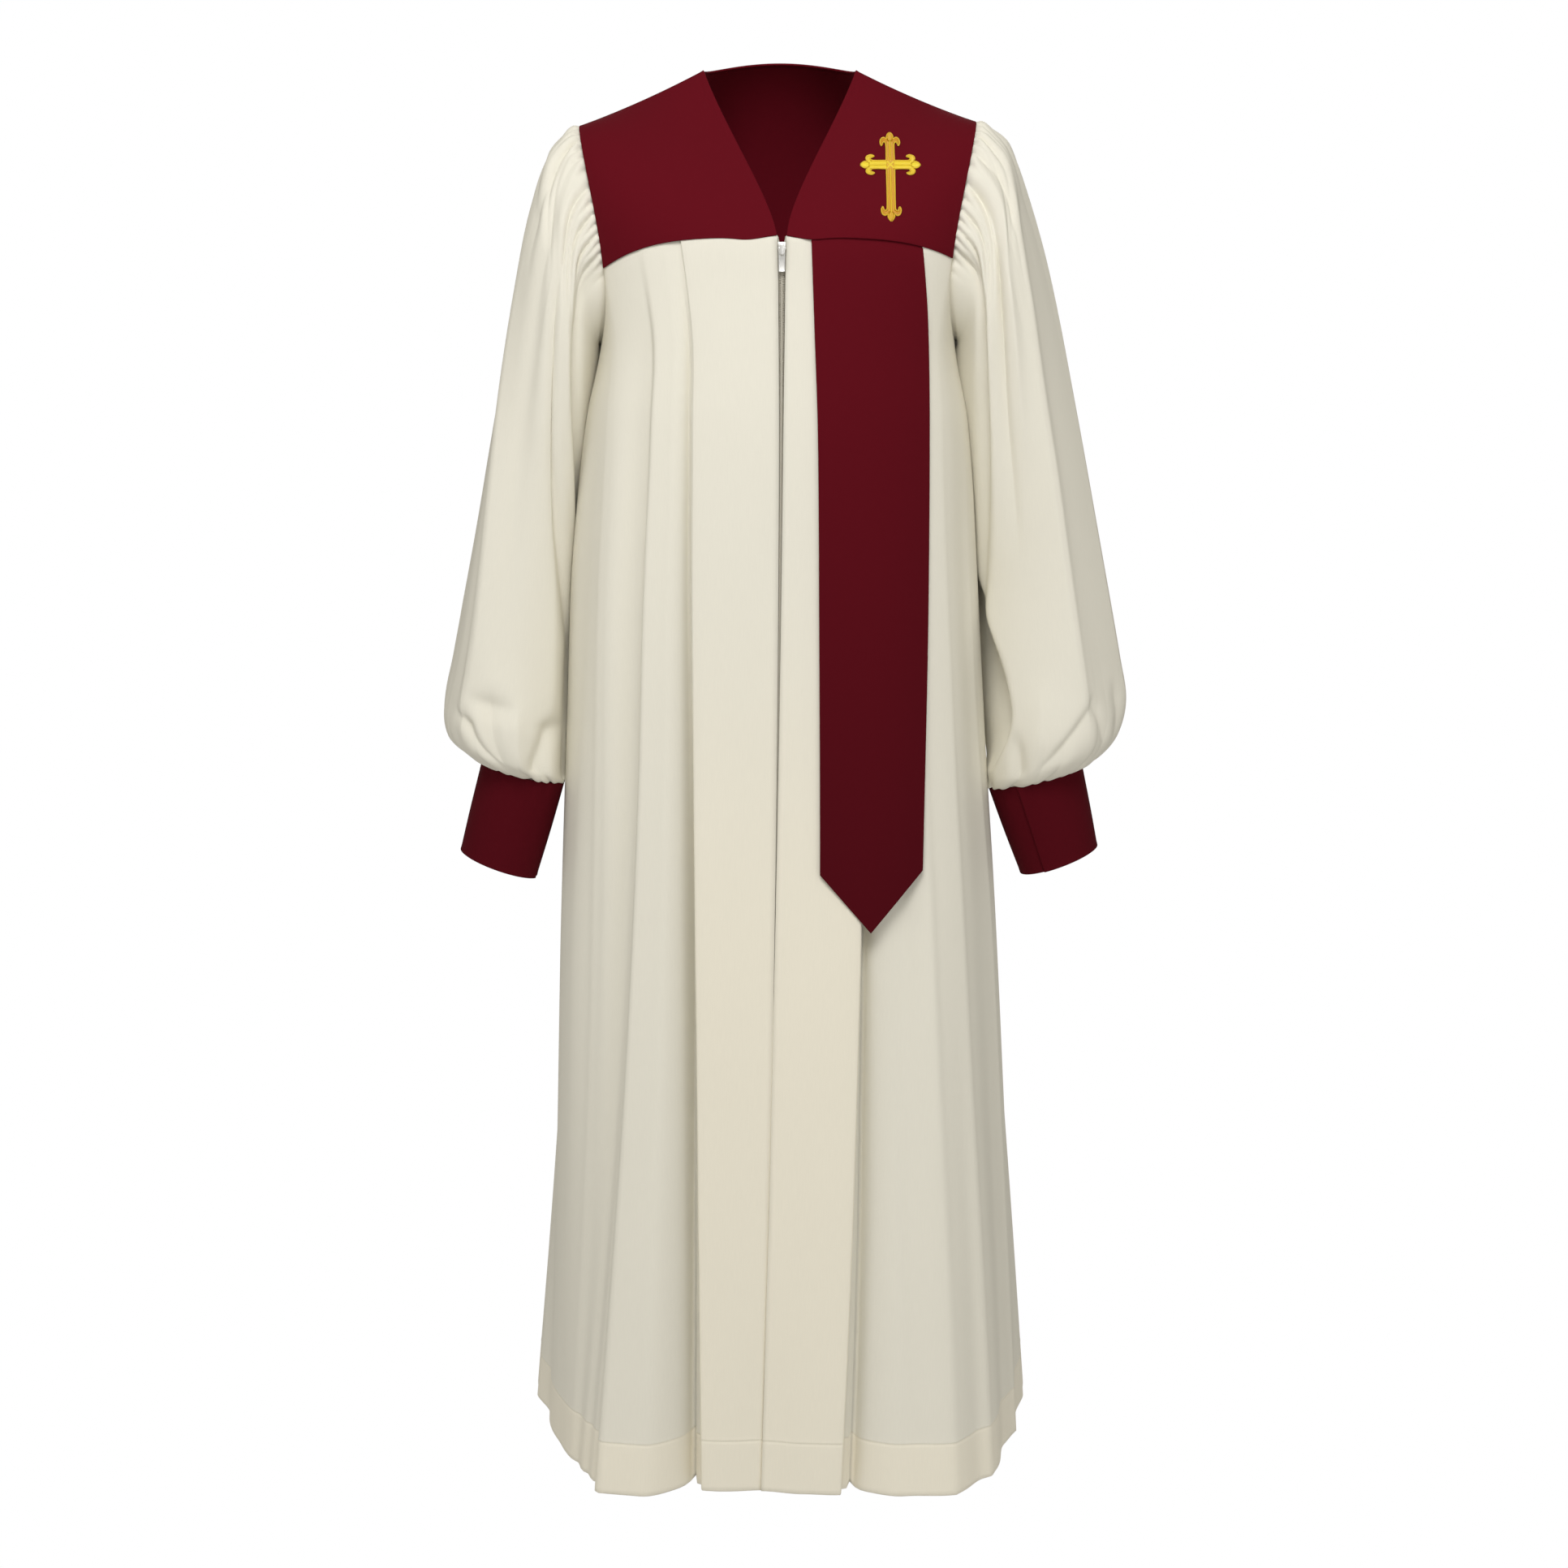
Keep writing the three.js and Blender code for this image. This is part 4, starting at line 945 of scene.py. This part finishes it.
def flattened(base, angle, down, flats):
    """The sleeve's rings with the cloth pulled straight between pairs of lines."""
    for course in flats:
        first, last, pull = course_at(course, down)

        def point_at(line):
            column = np.interp((line[:, 0] - angle[0]) % 360 + angle[0], angle, np.arange(len(angle)))
            row, i, t = np.arange(len(down)), column.astype(int), (column % 1)[:, None]
            return lerp(base[row, i], base[row, (i + 1) % len(angle)], t)[:, None]

        share = (wrapped(angle - first) / (last - first))[..., None]
        pull = np.where((share > 0) & (share < 1), pull[..., None], 0.0)
        base = base + (lerp(point_at(first), point_at(last), share) - base) * pull
    return base


def long_folds(folds, angle, down, girth):
    rise = 0
    for fold in folds:
        line, height = course_at(fold["course"], down)
        offset = wrapped(angle - line) * girth / 360
        rise = rise + height * crest(offset, fold["before"], fold["after"], fold["crisp"])
    return rise


def dents(strokes, angle, down, girth):
    rise = 0
    for dent in strokes:
        across = wrapped(dent["to_angle"] - dent["angle"]) * girth / 360
        drop = dent["to_down"] - dent["down"]
        length = np.hypot(across, drop)
        aside = wrapped(angle - dent["angle"]) * girth / 360
        below = down[:, None] - dent["down"]
        run = (aside * across + below * drop) / length
        off = (below * across - aside * drop) / length
        fade = 0.3 * length
        ends = ramp(run, -fade, fade) * ramp(length - run, -fade, fade)
        rise = rise + dent["height"] * crest(off, dent["before"], dent["after"], 0.3) * ends
    return rise


def gathers(angle, away, count, depth, reach, slant):
    """Small folds that leave a gathered seam, hanging aside from it by slant in degrees a mm. Each pair
    soon runs into one, and then each four and each eight."""
    turn = np.radians(angle) - np.radians(slant) * np.minimum(away, 70) * np.sin(np.radians(angle))
    turn = turn + 0.08 * np.sin(3 * turn + 1.0) + 0.035 * np.sin(7 * turn + 2.0)
    uneven = 0.85 + 0.3 * np.sin(5 * turn + 0.7) + 0.25 * np.sin(11 * turn + 2.2)
    rise = 0
    for merge, shift, start, full, fade, size in MERGES:
        fold = np.abs(np.cos(count * turn / merge + shift)) - 0.64
        rise = rise + size * fold * ramp(away, start, full) * np.exp(-away / (fade * reach * uneven))
    return depth * rise


def sleeve_rise(side, angle, down, length, girth):
    """How far the cloth stands out from the sleeve's plain surface."""
    away = down[:, None]
    gathered = ramp(120 - np.abs(wrapped(angle)), 0, 24)
    ends = ramp(away, 0, 40) * ramp(length - away, 0, 30)
    turn = np.radians(angle)
    return (
        long_folds(LONG_FOLDS[side] + BACK_LONG_FOLDS, angle, down, girth) * ramp(length - away, 2, 40)
        + dents(DENTS[side] + BACK_DENTS, angle, down, girth)
        + gathered * gathers(angle, away, **HEAD_GATHERS)
        + gathers(angle + 40 * side, length - away, **CUFF_GATHERS)
        + gathered * 1.8 * ramp(away, 0, 6) * np.exp(-away / 16)
        + wavy(away + 50 * np.cos(turn), 120 * np.sin(turn) + 60 * side, 0.8) * ends
        - 1.0 * np.exp(-away / 2.5)
        + 2.6 * ramp(length - away, 0, 4) * np.exp(-(length - away) / 10)
    )


def sleeve(side):
    """The sleeve's grid, closest where it is gathered."""
    angle = stepped([190, 270, 350, 485, 550], [20, 40, 165, 24])[:-1]
    length = sleeve_base(side, angle, np.zeros(1))[1]
    down = stepped([0, 60, 430, length], [33, 73, 55])
    base = flattened(sleeve_base(side, angle, down)[0], angle, down, FLATS[side])
    around = np.roll(base, -1, axis=1) - np.roll(base, 1, axis=1)
    normal = unit(np.cross(np.gradient(base, axis=0), around))
    outward = base - base.mean(axis=1, keepdims=True)
    normal *= np.sign((normal * outward).sum(axis=2, keepdims=True))
    girth = np.linalg.norm(np.diff(base, axis=1, append=base[:, :1]), axis=2).sum(axis=1)[:, None]
    main = base + normal * sleeve_rise(side, angle, down, length, girth)[..., None]

    head = main[0]
    armhole_middle = np.array([0.0, 0.0, SHOULDER_TIP[side][1] - ARMHOLE["height"]])
    inward = unit(-(head - armhole_middle) * np.array([0, 1, 1]))
    tucked = [head + inward * sink + np.array([-side * reach, 0, 0])
              for reach, sink in ((7, 2.6), (4, 2.2), (1.5, 1.3))]

    foot, (out_x, out_z), (in_x, in_z) = base[-1], CUFFS[side]["out"], CUFFS[side]["in"]
    cuff_end = np.array([side * (out_x + in_x) / 2, CUFF["y"], (out_z + in_z) / 2])
    run = unit(cuff_end - foot.mean(axis=0))
    spread = foot - foot.mean(axis=0)
    spread = unit(spread - (spread @ run)[:, None] * run)
    turned_in = [foot + spread * reach + run * drop
                 for drop, reach in ((0.2, -1.4), (1.4, -3.0), (4, -3.5), (7, -3.5))]
    return np.concatenate([tucked, main[:-1], turned_in])


CUFFS = {
    RIGHT: {"out": (317, -757), "in": (244, -784), "lap_angle": 160},
    LEFT: {"out": (315, -753), "in": (242, -781), "lap_angle": 116},
}
CUFF = {"depth": 38, "y": -10, "lap": 26, "step": 1.4, "below": 1.45}

for side, word in SIDES.items():
    piece = piece_from_grid(
        "sleeve_" + word + "_cloth", sleeve(side), CREAM_WALL, np.zeros((1, 1)), wraps=True, grain=90)
    dress(piece, CREAM, "robe", ["sleeve_" + word])

# ---- Cuffs
# A straight lined band round each wrist, folded at its lower edge, its ends lapped and hooked
# together out of sight.
CUFF_WALL = 2.0

for side, word in SIDES.items():
    top, bottom = SLEEVES[side][-1], CUFFS[side]
    down, share = (values[..., None] for values in np.meshgrid(
        np.linspace(0, 1, 36), np.linspace(0, 1, 132), indexing="ij"))
    angle = np.radians(bottom["lap_angle"] - (360 + CUFF["lap"]) * share)
    drift = CUFF["step"] * (1 - 2 * ramp(share, 0.5, 1.0))
    length = math.hypot(bottom["out"][0] - top["out_x"], bottom["out"][1] - top["out_z"])
    at = lerp(CUFF["below"] / length, 1, down)
    away = at * length
    puckered = 0.5 * np.sin(13 * angle + 2 * np.sin(3 * angle)) * np.exp(-away / 14)
    rolled = 0.35 * bell((1 - at) * length, 3)
    swell = 1.2 * np.sin(math.pi * at) * np.sin(2 * angle + 0.8)
    grow = 1 + (drift + puckered + rolled + swell * 0.5) / CUFF["depth"]
    out_x, out_z = lerp(top["out_x"], bottom["out"][0], at), lerp(top["out_z"], bottom["out"][1], at)
    in_x, in_z = lerp(top["in_x"], bottom["in"][0], at), lerp(top["in_z"], bottom["in"][1], at)
    grid = np.concatenate([
        side * ((out_x + in_x) / 2 + (out_x - in_x) / 2 * np.cos(angle) * grow),
        lerp(top["y"], CUFF["y"], at) - lerp(top["depth"], CUFF["depth"], at) * np.sin(angle) * grow,
        (out_z + in_z) / 2 + (out_z - in_z) / 2 * np.cos(angle) * grow,
    ], axis=-1)
    # Painted shade: the band takes mostly the burgundy's darker copy, for the less light that reaches the
    # cuffs.
    piece = piece_from_grid("cuff_" + word + "_band", grid, CUFF_WALL, np.full((1, 1), 0.75), bevel=0.6)
    dress(piece, BURGUNDY, "robe", ["cuff_" + word])

# ---- Stole panel
# One lined panel of the burgundy cloth on the wearer's left, its edges turned and pressed. Its top is
# sewn in with the yoke's seam, and it hangs free over the front to its point.
STOLE_EDGES = table("z inner outer", [
    (-150, 29, 132),
    (-235, 32, 139),
    (-340, 35.5, 141),
    (-520, 37, 140.5),
    (-700, 38, 137.5),
    (-820, 38, 135),
])
STOLE = {"straight_to": -752, "point": -809, "lift": 2.3, "wall": 1.7, "width": 104}


def on_left_front(x, z, rise):
    """The left front's points at x and z, found by stepping along the section."""
    share = np.full(np.shape(x), 0.3)
    for _ in range(6):
        top = panel_top(LEFT, share, 1)[..., 2] - YOKE_SEAM
        point = panel_point(LEFT, 1, share, (top - np.minimum(z, top)) / (top - HEM), 0, rise)
        share = share + (x - point[..., 0]) / length_at(LEFT, "quarter", z)
    return point


down, across = np.meshgrid(np.linspace(0, 1, 232), np.linspace(0, 1, 45), indexing="ij")
corner = armhole(LEFT, YOKE_CORNER[LEFT])


def stole_x(z):
    return lerp(along(STOLE_EDGES, "z", z, "inner"), along(STOLE_EDGES, "z", z, "outer"), across)


top = yoke_edge(LEFT, stole_x(YOKE_LOW["front"]) / corner[0], 1)[..., 2] - YOKE_SEAM
z = lerp(top, lerp(STOLE["point"], STOLE["straight_to"], np.abs(2 * across - 1)), down)
swell = fold_rise(front_pleat(LEFT), (top - z) / (top - HEM))
sewn_in = 4.9 * np.exp(-(top - z) / 11)
from_edge = np.minimum(across, 1 - across) * STOLE["width"]
rise = STOLE["lift"] + swell - sewn_in + 0.25 * bell(from_edge, 3)
rise = rise + 0.5 * (1 + np.sin(z / 70 + across * 4)) * ramp(top - z, 20, 90)
grid = on_left_front(stole_x(z), z, rise)
under_yoke = [grid[0] + np.array([0, sink, lift]) for sink, lift in ((0.9, 6.0), (0.5, 3.0))]
grid = np.concatenate([under_yoke, grid])
# Painted light: the burgundy is lighter at the top, where the panel catches the light, and turns darker
# down towards its point, painted shade where less light falls.
painted_shade_downwards = np.linspace(0.05, 0.8, len(grid))[:, None]
stole = piece_from_grid("stole_panel_cloth", grid, STOLE["wall"], painted_shade_downwards, bevel=0.5)
dress(stole, BURGUNDY, "robe", ["stole_panel"])

# ---- Cross
# A cross fleury worked by machine in gold thread on the wearer's left yoke: padded satin columns with
# cord outlines, a leaf each side of every arm's end and a bud beyond them.
CROSS = {"x": 103.4, "z": -92, "arms": {(0, 1): 31, (1, 0): 28, (0, -1): 52, (-1, 0): 28}}
STITCH_PITCH = 0.00042
ON_YOKE = 0.75


def on_left_yoke(x, z, rise):
    """Points of the left front yoke at x and z, found by stepping over the surface."""
    across, down = np.full(np.shape(x), 0.5), np.full(np.shape(x), 0.5)
    step = 0.001
    for _ in range(8):
        here = front_yoke(LEFT, across, down)
        aside = (front_yoke(LEFT, across + step, down) - here) / step
        below = (front_yoke(LEFT, across, down + step) - here) / step
        off_x, off_z = x - here[..., 0], z - here[..., 2]
        scale = aside[..., 0] * below[..., 2] - aside[..., 2] * below[..., 0]
        across = across + (off_x * below[..., 2] - off_z * below[..., 0]) / scale
        down = down + (off_z * aside[..., 0] - off_x * aside[..., 2]) / scale
    return stood_out(lambda a, d: front_yoke(LEFT, a, d), across, down, rise)


def stitched(arm, course, height, tone):
    """A padded column of stitches along a course of (mm out along the arm, mm aside, half width)."""
    along_arm, aside, half = np.array(course, float).T
    knots = np.concatenate([[0], np.cumsum(np.hypot(np.diff(along_arm), np.diff(aside)))])
    at = np.linspace(0, knots[-1], max(int(knots[-1] / 0.55), 6))
    line = through(knots, np.stack([along_arm, aside], axis=-1), at)
    run = unit(np.gradient(line, axis=0))
    half = np.maximum(through(knots, half, at), 0.12)[:, None]
    across = np.linspace(-1, 1, 7)[None, :]
    place = line[:, None] + (half * across)[..., None] * np.stack([-run[:, 1], run[:, 0]], axis=-1)[:, None]
    ends = np.sqrt(np.clip(1 - np.abs(2 * at / knots[-1] - 1) ** 12, 0, 1))[:, None]
    rise = ON_YOKE + height * (0.25 + 0.75 * np.sqrt(1 - 0.96 * across ** 2)) * (0.4 + 0.6 * ends)
    out, side = place[..., 0], place[..., 1]
    x = CROSS["x"] + out * arm[0] - side * arm[1]
    z = CROSS["z"] + out * arm[1] + side * arm[0]
    # The tone is painted sheen, turning the gold from dark to light.
    return piece_from_grid("stitches", on_left_yoke(x, z, rise), 0.35, np.full((1, 1), tone))


def joined(name, pieces):
    """The pieces as one, under that name."""
    bpy.ops.object.select_all(action="DESELECT")
    for piece in pieces:
        piece.select_set(True)
    bpy.context.view_layer.objects.active = pieces[0]
    bpy.ops.object.join()
    pieces[0].name = pieces[0].data.name = name
    return pieces[0]


columns = []
for arm, tip in CROSS["arms"].items():
    # Painted sheen: the horizontal arms take the bright yellow gold and the vertical arms the dark orange,
    # for how satin stitches catch the light by the way they run; the cords and buds are painted lighter
    # too.
    painted_sheen = 0.85 if arm[0] else 0.2
    bud = [(tip - 8.2, 0, 1.5), (tip - 5.4, 0, 2.7), (tip - 2.6, 0, 2.1), (tip - 0.4, 0, 0.5)]
    columns.append(stitched(arm, [(3.4, 0, 0.4), (tip - 8.0, 0, 0.4)], 1.1, 0.8))
    columns.append(stitched(arm, bud, 1.35, painted_sheen + 0.1))
    for side in (-1, 1):
        leaf = [(tip - 9.3, 2.4 * side, 1.2), (tip - 7.2, 4.8 * side, 1.9), (tip - 8.4, 7.4 * side, 1.5),
                (tip - 12.4, 8.1 * side, 0.4)]
        outline = [
            (3.6, 3.8 * side, 0.5), (tip - 11.6, 3.8 * side, 0.5), (tip - 9.6, 5.0 * side, 0.45),
            (tip - 9.9, 6.4 * side, 0.45), (tip - 13.0, 7.8 * side, 0.4), (tip - 10.6, 9.1 * side, 0.5),
            (tip - 6.6, 8.2 * side, 0.5), (tip - 5.2, 5.6 * side, 0.5), (tip - 6.6, 3.1 * side, 0.4),
            (tip - 4.2, 3.0 * side, 0.5), (tip - 1.8, 1.9 * side, 0.45), (tip, 0.2 * side, 0.4)]
        columns.append(stitched(arm, [(3.4, 1.9 * side, 1.55), (tip - 8.4, 1.9 * side, 1.55)], 0.85, painted_sheen))
        columns.append(stitched(arm, leaf, 0.95, painted_sheen - 0.1))
        columns.append(stitched(arm, outline, 1.2, 0.55))
columns.append(stitched((0, 1), [(-4.2, 0, 4.1), (4.2, 0, 4.1)], 0.7, 0.3))
for side in (-1, 1):
    band = [(-3.4, -3.4 * side, 0.9), (3.4, 3.4 * side, 0.9)]
    columns.append(stitched((0, 1), band, 1.1 + 0.15 * side, 0.8))
cross = joined("cross_embroidery", columns)

GOLD, wire, shader = new_material("gold_thread")
uv = wire.node("UVMap", {"uv_map": "threads"}, {})
tone = wire.node("Attribute", {"attribute_name": "tone"}, {}, output=2)
thread = wire.stripes("Y", uv, STITCH_PITCH)
uneven = wire.noise(uv, 900.0, 2.0)
# The gold turns from dark orange to bright yellow with the tone, which holds painted sheen, and with random
# unevenness of the thread.
shade = wire.between(tone + uneven * 0.3 - 0.15, (0.62, 0.25, 0.008), (0.98, 0.78, 0.045))
wire.feed(shader, {
    "Base Color": wire.dimmed(shade, 0.82 + thread * 0.22),
    "Roughness": 0.3 + uneven * 0.15,
    "Normal": wire.bump(thread, 0.6, 0.00015),
    "Specular IOR Level": 0.5,
})
dress(cross, GOLD, "robe", ["cross"])

# ---- Zip
# A closed-end coil zip behind the fronts' edges: a woven tape sewn to each front, two nylon coils whose
# turns lock between each other, and a cast slider with a hinged pull tab at its top.
PIN = {"z": -168.5, "out": 3.5, "radius": 0.8, "half": 3.7}
TAPE = {"width": 13, "parting": 0.3, "rise": -3.5, "wall": 0.7, "bottom": ZIP_TOP - 915}
# The tapes' tops dip towards the coils, behind the slider.
DIP = {"z": PIN["z"] + 4.6, "deep": 6.5, "half": 3.3}
COIL = {"pitch": 1.4, "turn": 2.9, "off": 1.05, "rise": -2.55, "top": ZIP_TOP - 13, "thick": 0.55}


def on_zip(z, offset, rise):
    """Points offset to the side of the zip's middle, stood out from the skirt's smooth surface."""
    return skirt_point(LEFT, z, zip_x(z) + offset, rise)


ZIP_TAPE = twill("zip_tape_weave", ((0.50, 0.475, 0.40), (0.50, 0.475, 0.40)), 0.0006, 0.8, 0.2)
for side, word in SIDES.items():
    offset = side * np.linspace(TAPE["parting"], TAPE["width"], 27)[None, :]
    top = DIP["z"] + DIP["deep"] * np.minimum(np.abs(offset) / DIP["half"], 1) ** 4
    z = lerp(top, TAPE["bottom"], np.linspace(0, 1, 240)[:, None])
    grid = on_zip(z, offset, np.full((1, 1), TAPE["rise"]))
    tape = piece_from_grid("zip_tape_" + word + "_weave", grid, TAPE["wall"], out=side == LEFT)
    dress(tape, ZIP_TAPE, "robe", ["zip_tape_" + word])


def opened():
    """Opens the piece just made for editing by its faces."""
    bpy.ops.object.transform_apply(location=True, rotation=True, scale=True)
    bpy.ops.object.mode_set(mode="EDIT")
    bpy.ops.mesh.select_mode(type="FACE")
    return bpy.context.object


def rod(sides, radius, length, middle=(0, 0, 0)):
    """A rod across the robe, in mm, left in edit mode."""
    bpy.ops.object.select_all(action="DESELECT")
    bpy.ops.mesh.primitive_cylinder_add(
        vertices=sides, radius=radius / 1000, depth=length / 1000,
        location=[place / 1000 for place in middle], rotation=(0, math.pi / 2, 0))
    return opened()


def pick(test):
    """In edit mode, selects the faces whose middle in mm and normal pass the test."""
    mesh = bmesh.from_edit_mesh(bpy.context.object.data)
    bpy.ops.mesh.select_all(action="DESELECT")
    for face in mesh.faces:
        face.select_set(bool(test(face.calc_center_median() * 1000, face.normal)))
    bmesh.update_edit_mesh(bpy.context.object.data)


def drawn_out(*reach):
    """Extrudes the picked faces by mm along x, y and z."""
    bpy.ops.mesh.extrude_region_move(TRANSFORM_OT_translate={"value": [length / 1000 for length in reach]})


def scaled(*by):
    bpy.ops.transform.resize(value=by)


turn = rod(6, COIL["thick"], COIL["turn"])
pick(lambda middle, normal: normal.x > 0.9)
drawn_out(0.4, 0.3, 0)
scaled(1, 1.2, 1.25)
pick(lambda middle, normal: normal.x < -0.9)
drawn_out(-0.3, 0.2, 0)
scaled(1, 0.6, 0.6)
bpy.ops.object.mode_set(mode="OBJECT")

shape = np.array([corner.co for corner in turn.data.vertices]) * 1000
faces = [list(face.vertices) for face in turn.data.polygons]
points, turns = [], []
half_pitch = COIL["pitch"] / 2
for k, z in enumerate(np.arange(COIL["top"], TAPE["bottom"] + 1, -half_pitch)):
    side = LEFT if k % 2 else RIGHT
    across = -side * (shape[:, 0] - COIL["off"])
    start = len(points) * len(shape)
    points.append(on_zip(z + shape[:, 2], across, COIL["rise"] - shape[:, 1]))
    turns += [[start + v for v in (face if side == RIGHT else face[::-1])] for face in faces]
bpy.data.objects.remove(turn)
coil_mesh = bpy.data.meshes.new("zip_coils")
coil_mesh.from_pydata((np.concatenate(points) / 1000).tolist(), [], turns)
coil_mesh.polygons.foreach_set("use_smooth", np.ones(len(coil_mesh.polygons), bool))
coils = bpy.data.objects.new("zip_coils", coil_mesh)
scene.collection.objects.link(coils)
NYLON, wire, shader = new_material("coil_nylon")
uneven = wire.noise(wire.node("TexCoord", {}, {}, output=3), 1500.0, 2.0)
wire.feed(shader, {
    "Base Color": wire.between(uneven, (0.40, 0.37, 0.30), (0.52, 0.49, 0.41)),
    "Roughness": 0.35 + uneven * 0.2,
})
dress(coils, NYLON, "robe", ["zip_chain"])

METAL, wire, shader = new_material("cast_metal")
place = wire.node("TexCoord", {}, {}, output=3)
brushed = wire.noise(place, (4000, 4000, 500), 3.0)
worn = wire.noise(place, 420.0, 3.0)
wire.feed(shader, {
    "Base Color": wire.between(worn, (0.78, 0.775, 0.75), (0.95, 0.945, 0.92)),
    "Roughness": 0.3 + brushed * 0.14 + worn * 0.1,
    "Normal": wire.bump(brushed, 0.15, 0.0001),
    "Metallic": 1.0,
})

pin_at = on_zip(PIN["z"], 0.0, 0.0).reshape(3)


def bar(size, out, up):
    """A block of that size in mm, its middle placed from the pull's pin, left in edit mode."""
    bpy.ops.object.select_all(action="DESELECT")
    middle = (pin_at + np.array([0, -out, up])) / 1000
    bpy.ops.mesh.primitive_cube_add(
        size=1, location=middle.tolist(), scale=[length / 1000 for length in size])
    return opened()


def crossed(offset, facing):
    """Cuts edges right round the block, offset in mm from the pin."""
    bpy.ops.mesh.select_all(action="SELECT")
    bpy.ops.mesh.bisect(plane_co=((pin_at + np.array(offset)) / 1000).tolist(), plane_no=facing)


def softened(width, segments):
    """Rounds the edges of the picked faces, and leaves edit mode."""
    bpy.ops.mesh.bevel(offset=width / 1000, segments=segments, affect="EDGES")
    bpy.ops.object.mode_set(mode="OBJECT")
    bpy.ops.object.shade_smooth_by_angle(angle=math.radians(40))


def rounded(width):
    bpy.ops.mesh.select_all(action="SELECT")
    softened(width, 3)


# The slider's plate, narrower at its foot, with a block behind it that the coils run through.
plate = bar((7.6, 1.1, 12.5), 1.5, -0.6)
pick(lambda middle, normal: normal.z < -0.9)
scaled(0.72, 1, 1)
pick(lambda middle, normal: normal.y > 0.9)
bpy.ops.mesh.inset(thickness=0.0009)
drawn_out(0, 3.1, 0)
rounded(0.3)

# The bridge stands over the pin on two feet, above the first cut and below the second.
BRIDGE = {"middle": -1.2, "upper_cut": 2.2, "lower_cut": -5}
between_feet = (BRIDGE["upper_cut"] + BRIDGE["lower_cut"]) / 2
bridge = bar((3.9, 1.2, 9.8), 5.3, BRIDGE["middle"])
for height in (BRIDGE["upper_cut"], BRIDGE["lower_cut"]):
    crossed([0, 0, height], (0, 0, 1))
pick(lambda middle, normal: normal.y > 0.9 and abs(middle.z - pin_at[2] - between_feet) > 3)
drawn_out(0, 2.9, 0)
pick(lambda middle, normal: normal.z < -0.9 and middle.z < pin_at[2] + BRIDGE["lower_cut"])
scaled(0.62, 1, 1)
rounded(0.32)
slider = joined("zip_slider_body", [plate, bridge])
dress(slider, METAL, "robe", ["zip_slider"])

# The tab's two legs run up from its plate to the pin, each side of the bridge.
TAB = {"size": (5.9, 1.2, 14.7), "top": -6.8, "leg_at": 2.15, "leg": 7.2}
tab = bar(TAB["size"], PIN["out"], TAB["top"] - TAB["size"][2] / 2)
for edge in (-TAB["leg_at"], TAB["leg_at"]):
    crossed([edge, 0, 0], (1, 0, 0))
pick(lambda middle, normal: normal.z > 0.9 and abs(middle.x - pin_at[0]) > TAB["leg_at"])
drawn_out(0, 0, TAB["leg"])
pick(lambda middle, normal: normal.y < -0.9 and middle.z < pin_at[2] - 7)
bpy.ops.mesh.inset(thickness=0.0006)
drawn_out(0, 0.22, 0)
rounded(0.16)
pin = rod(20, PIN["radius"], 2 * PIN["half"], pin_at + np.array([0, -PIN["out"], 0]))
pick(lambda middle, normal: abs(normal.x) > 0.9)
softened(0.2, 2)
pull_tab = joined("zip_pull_tab_plate", [tab, pin])
dress(pull_tab, METAL, "pull_tab", ["zip_pull_tab"])
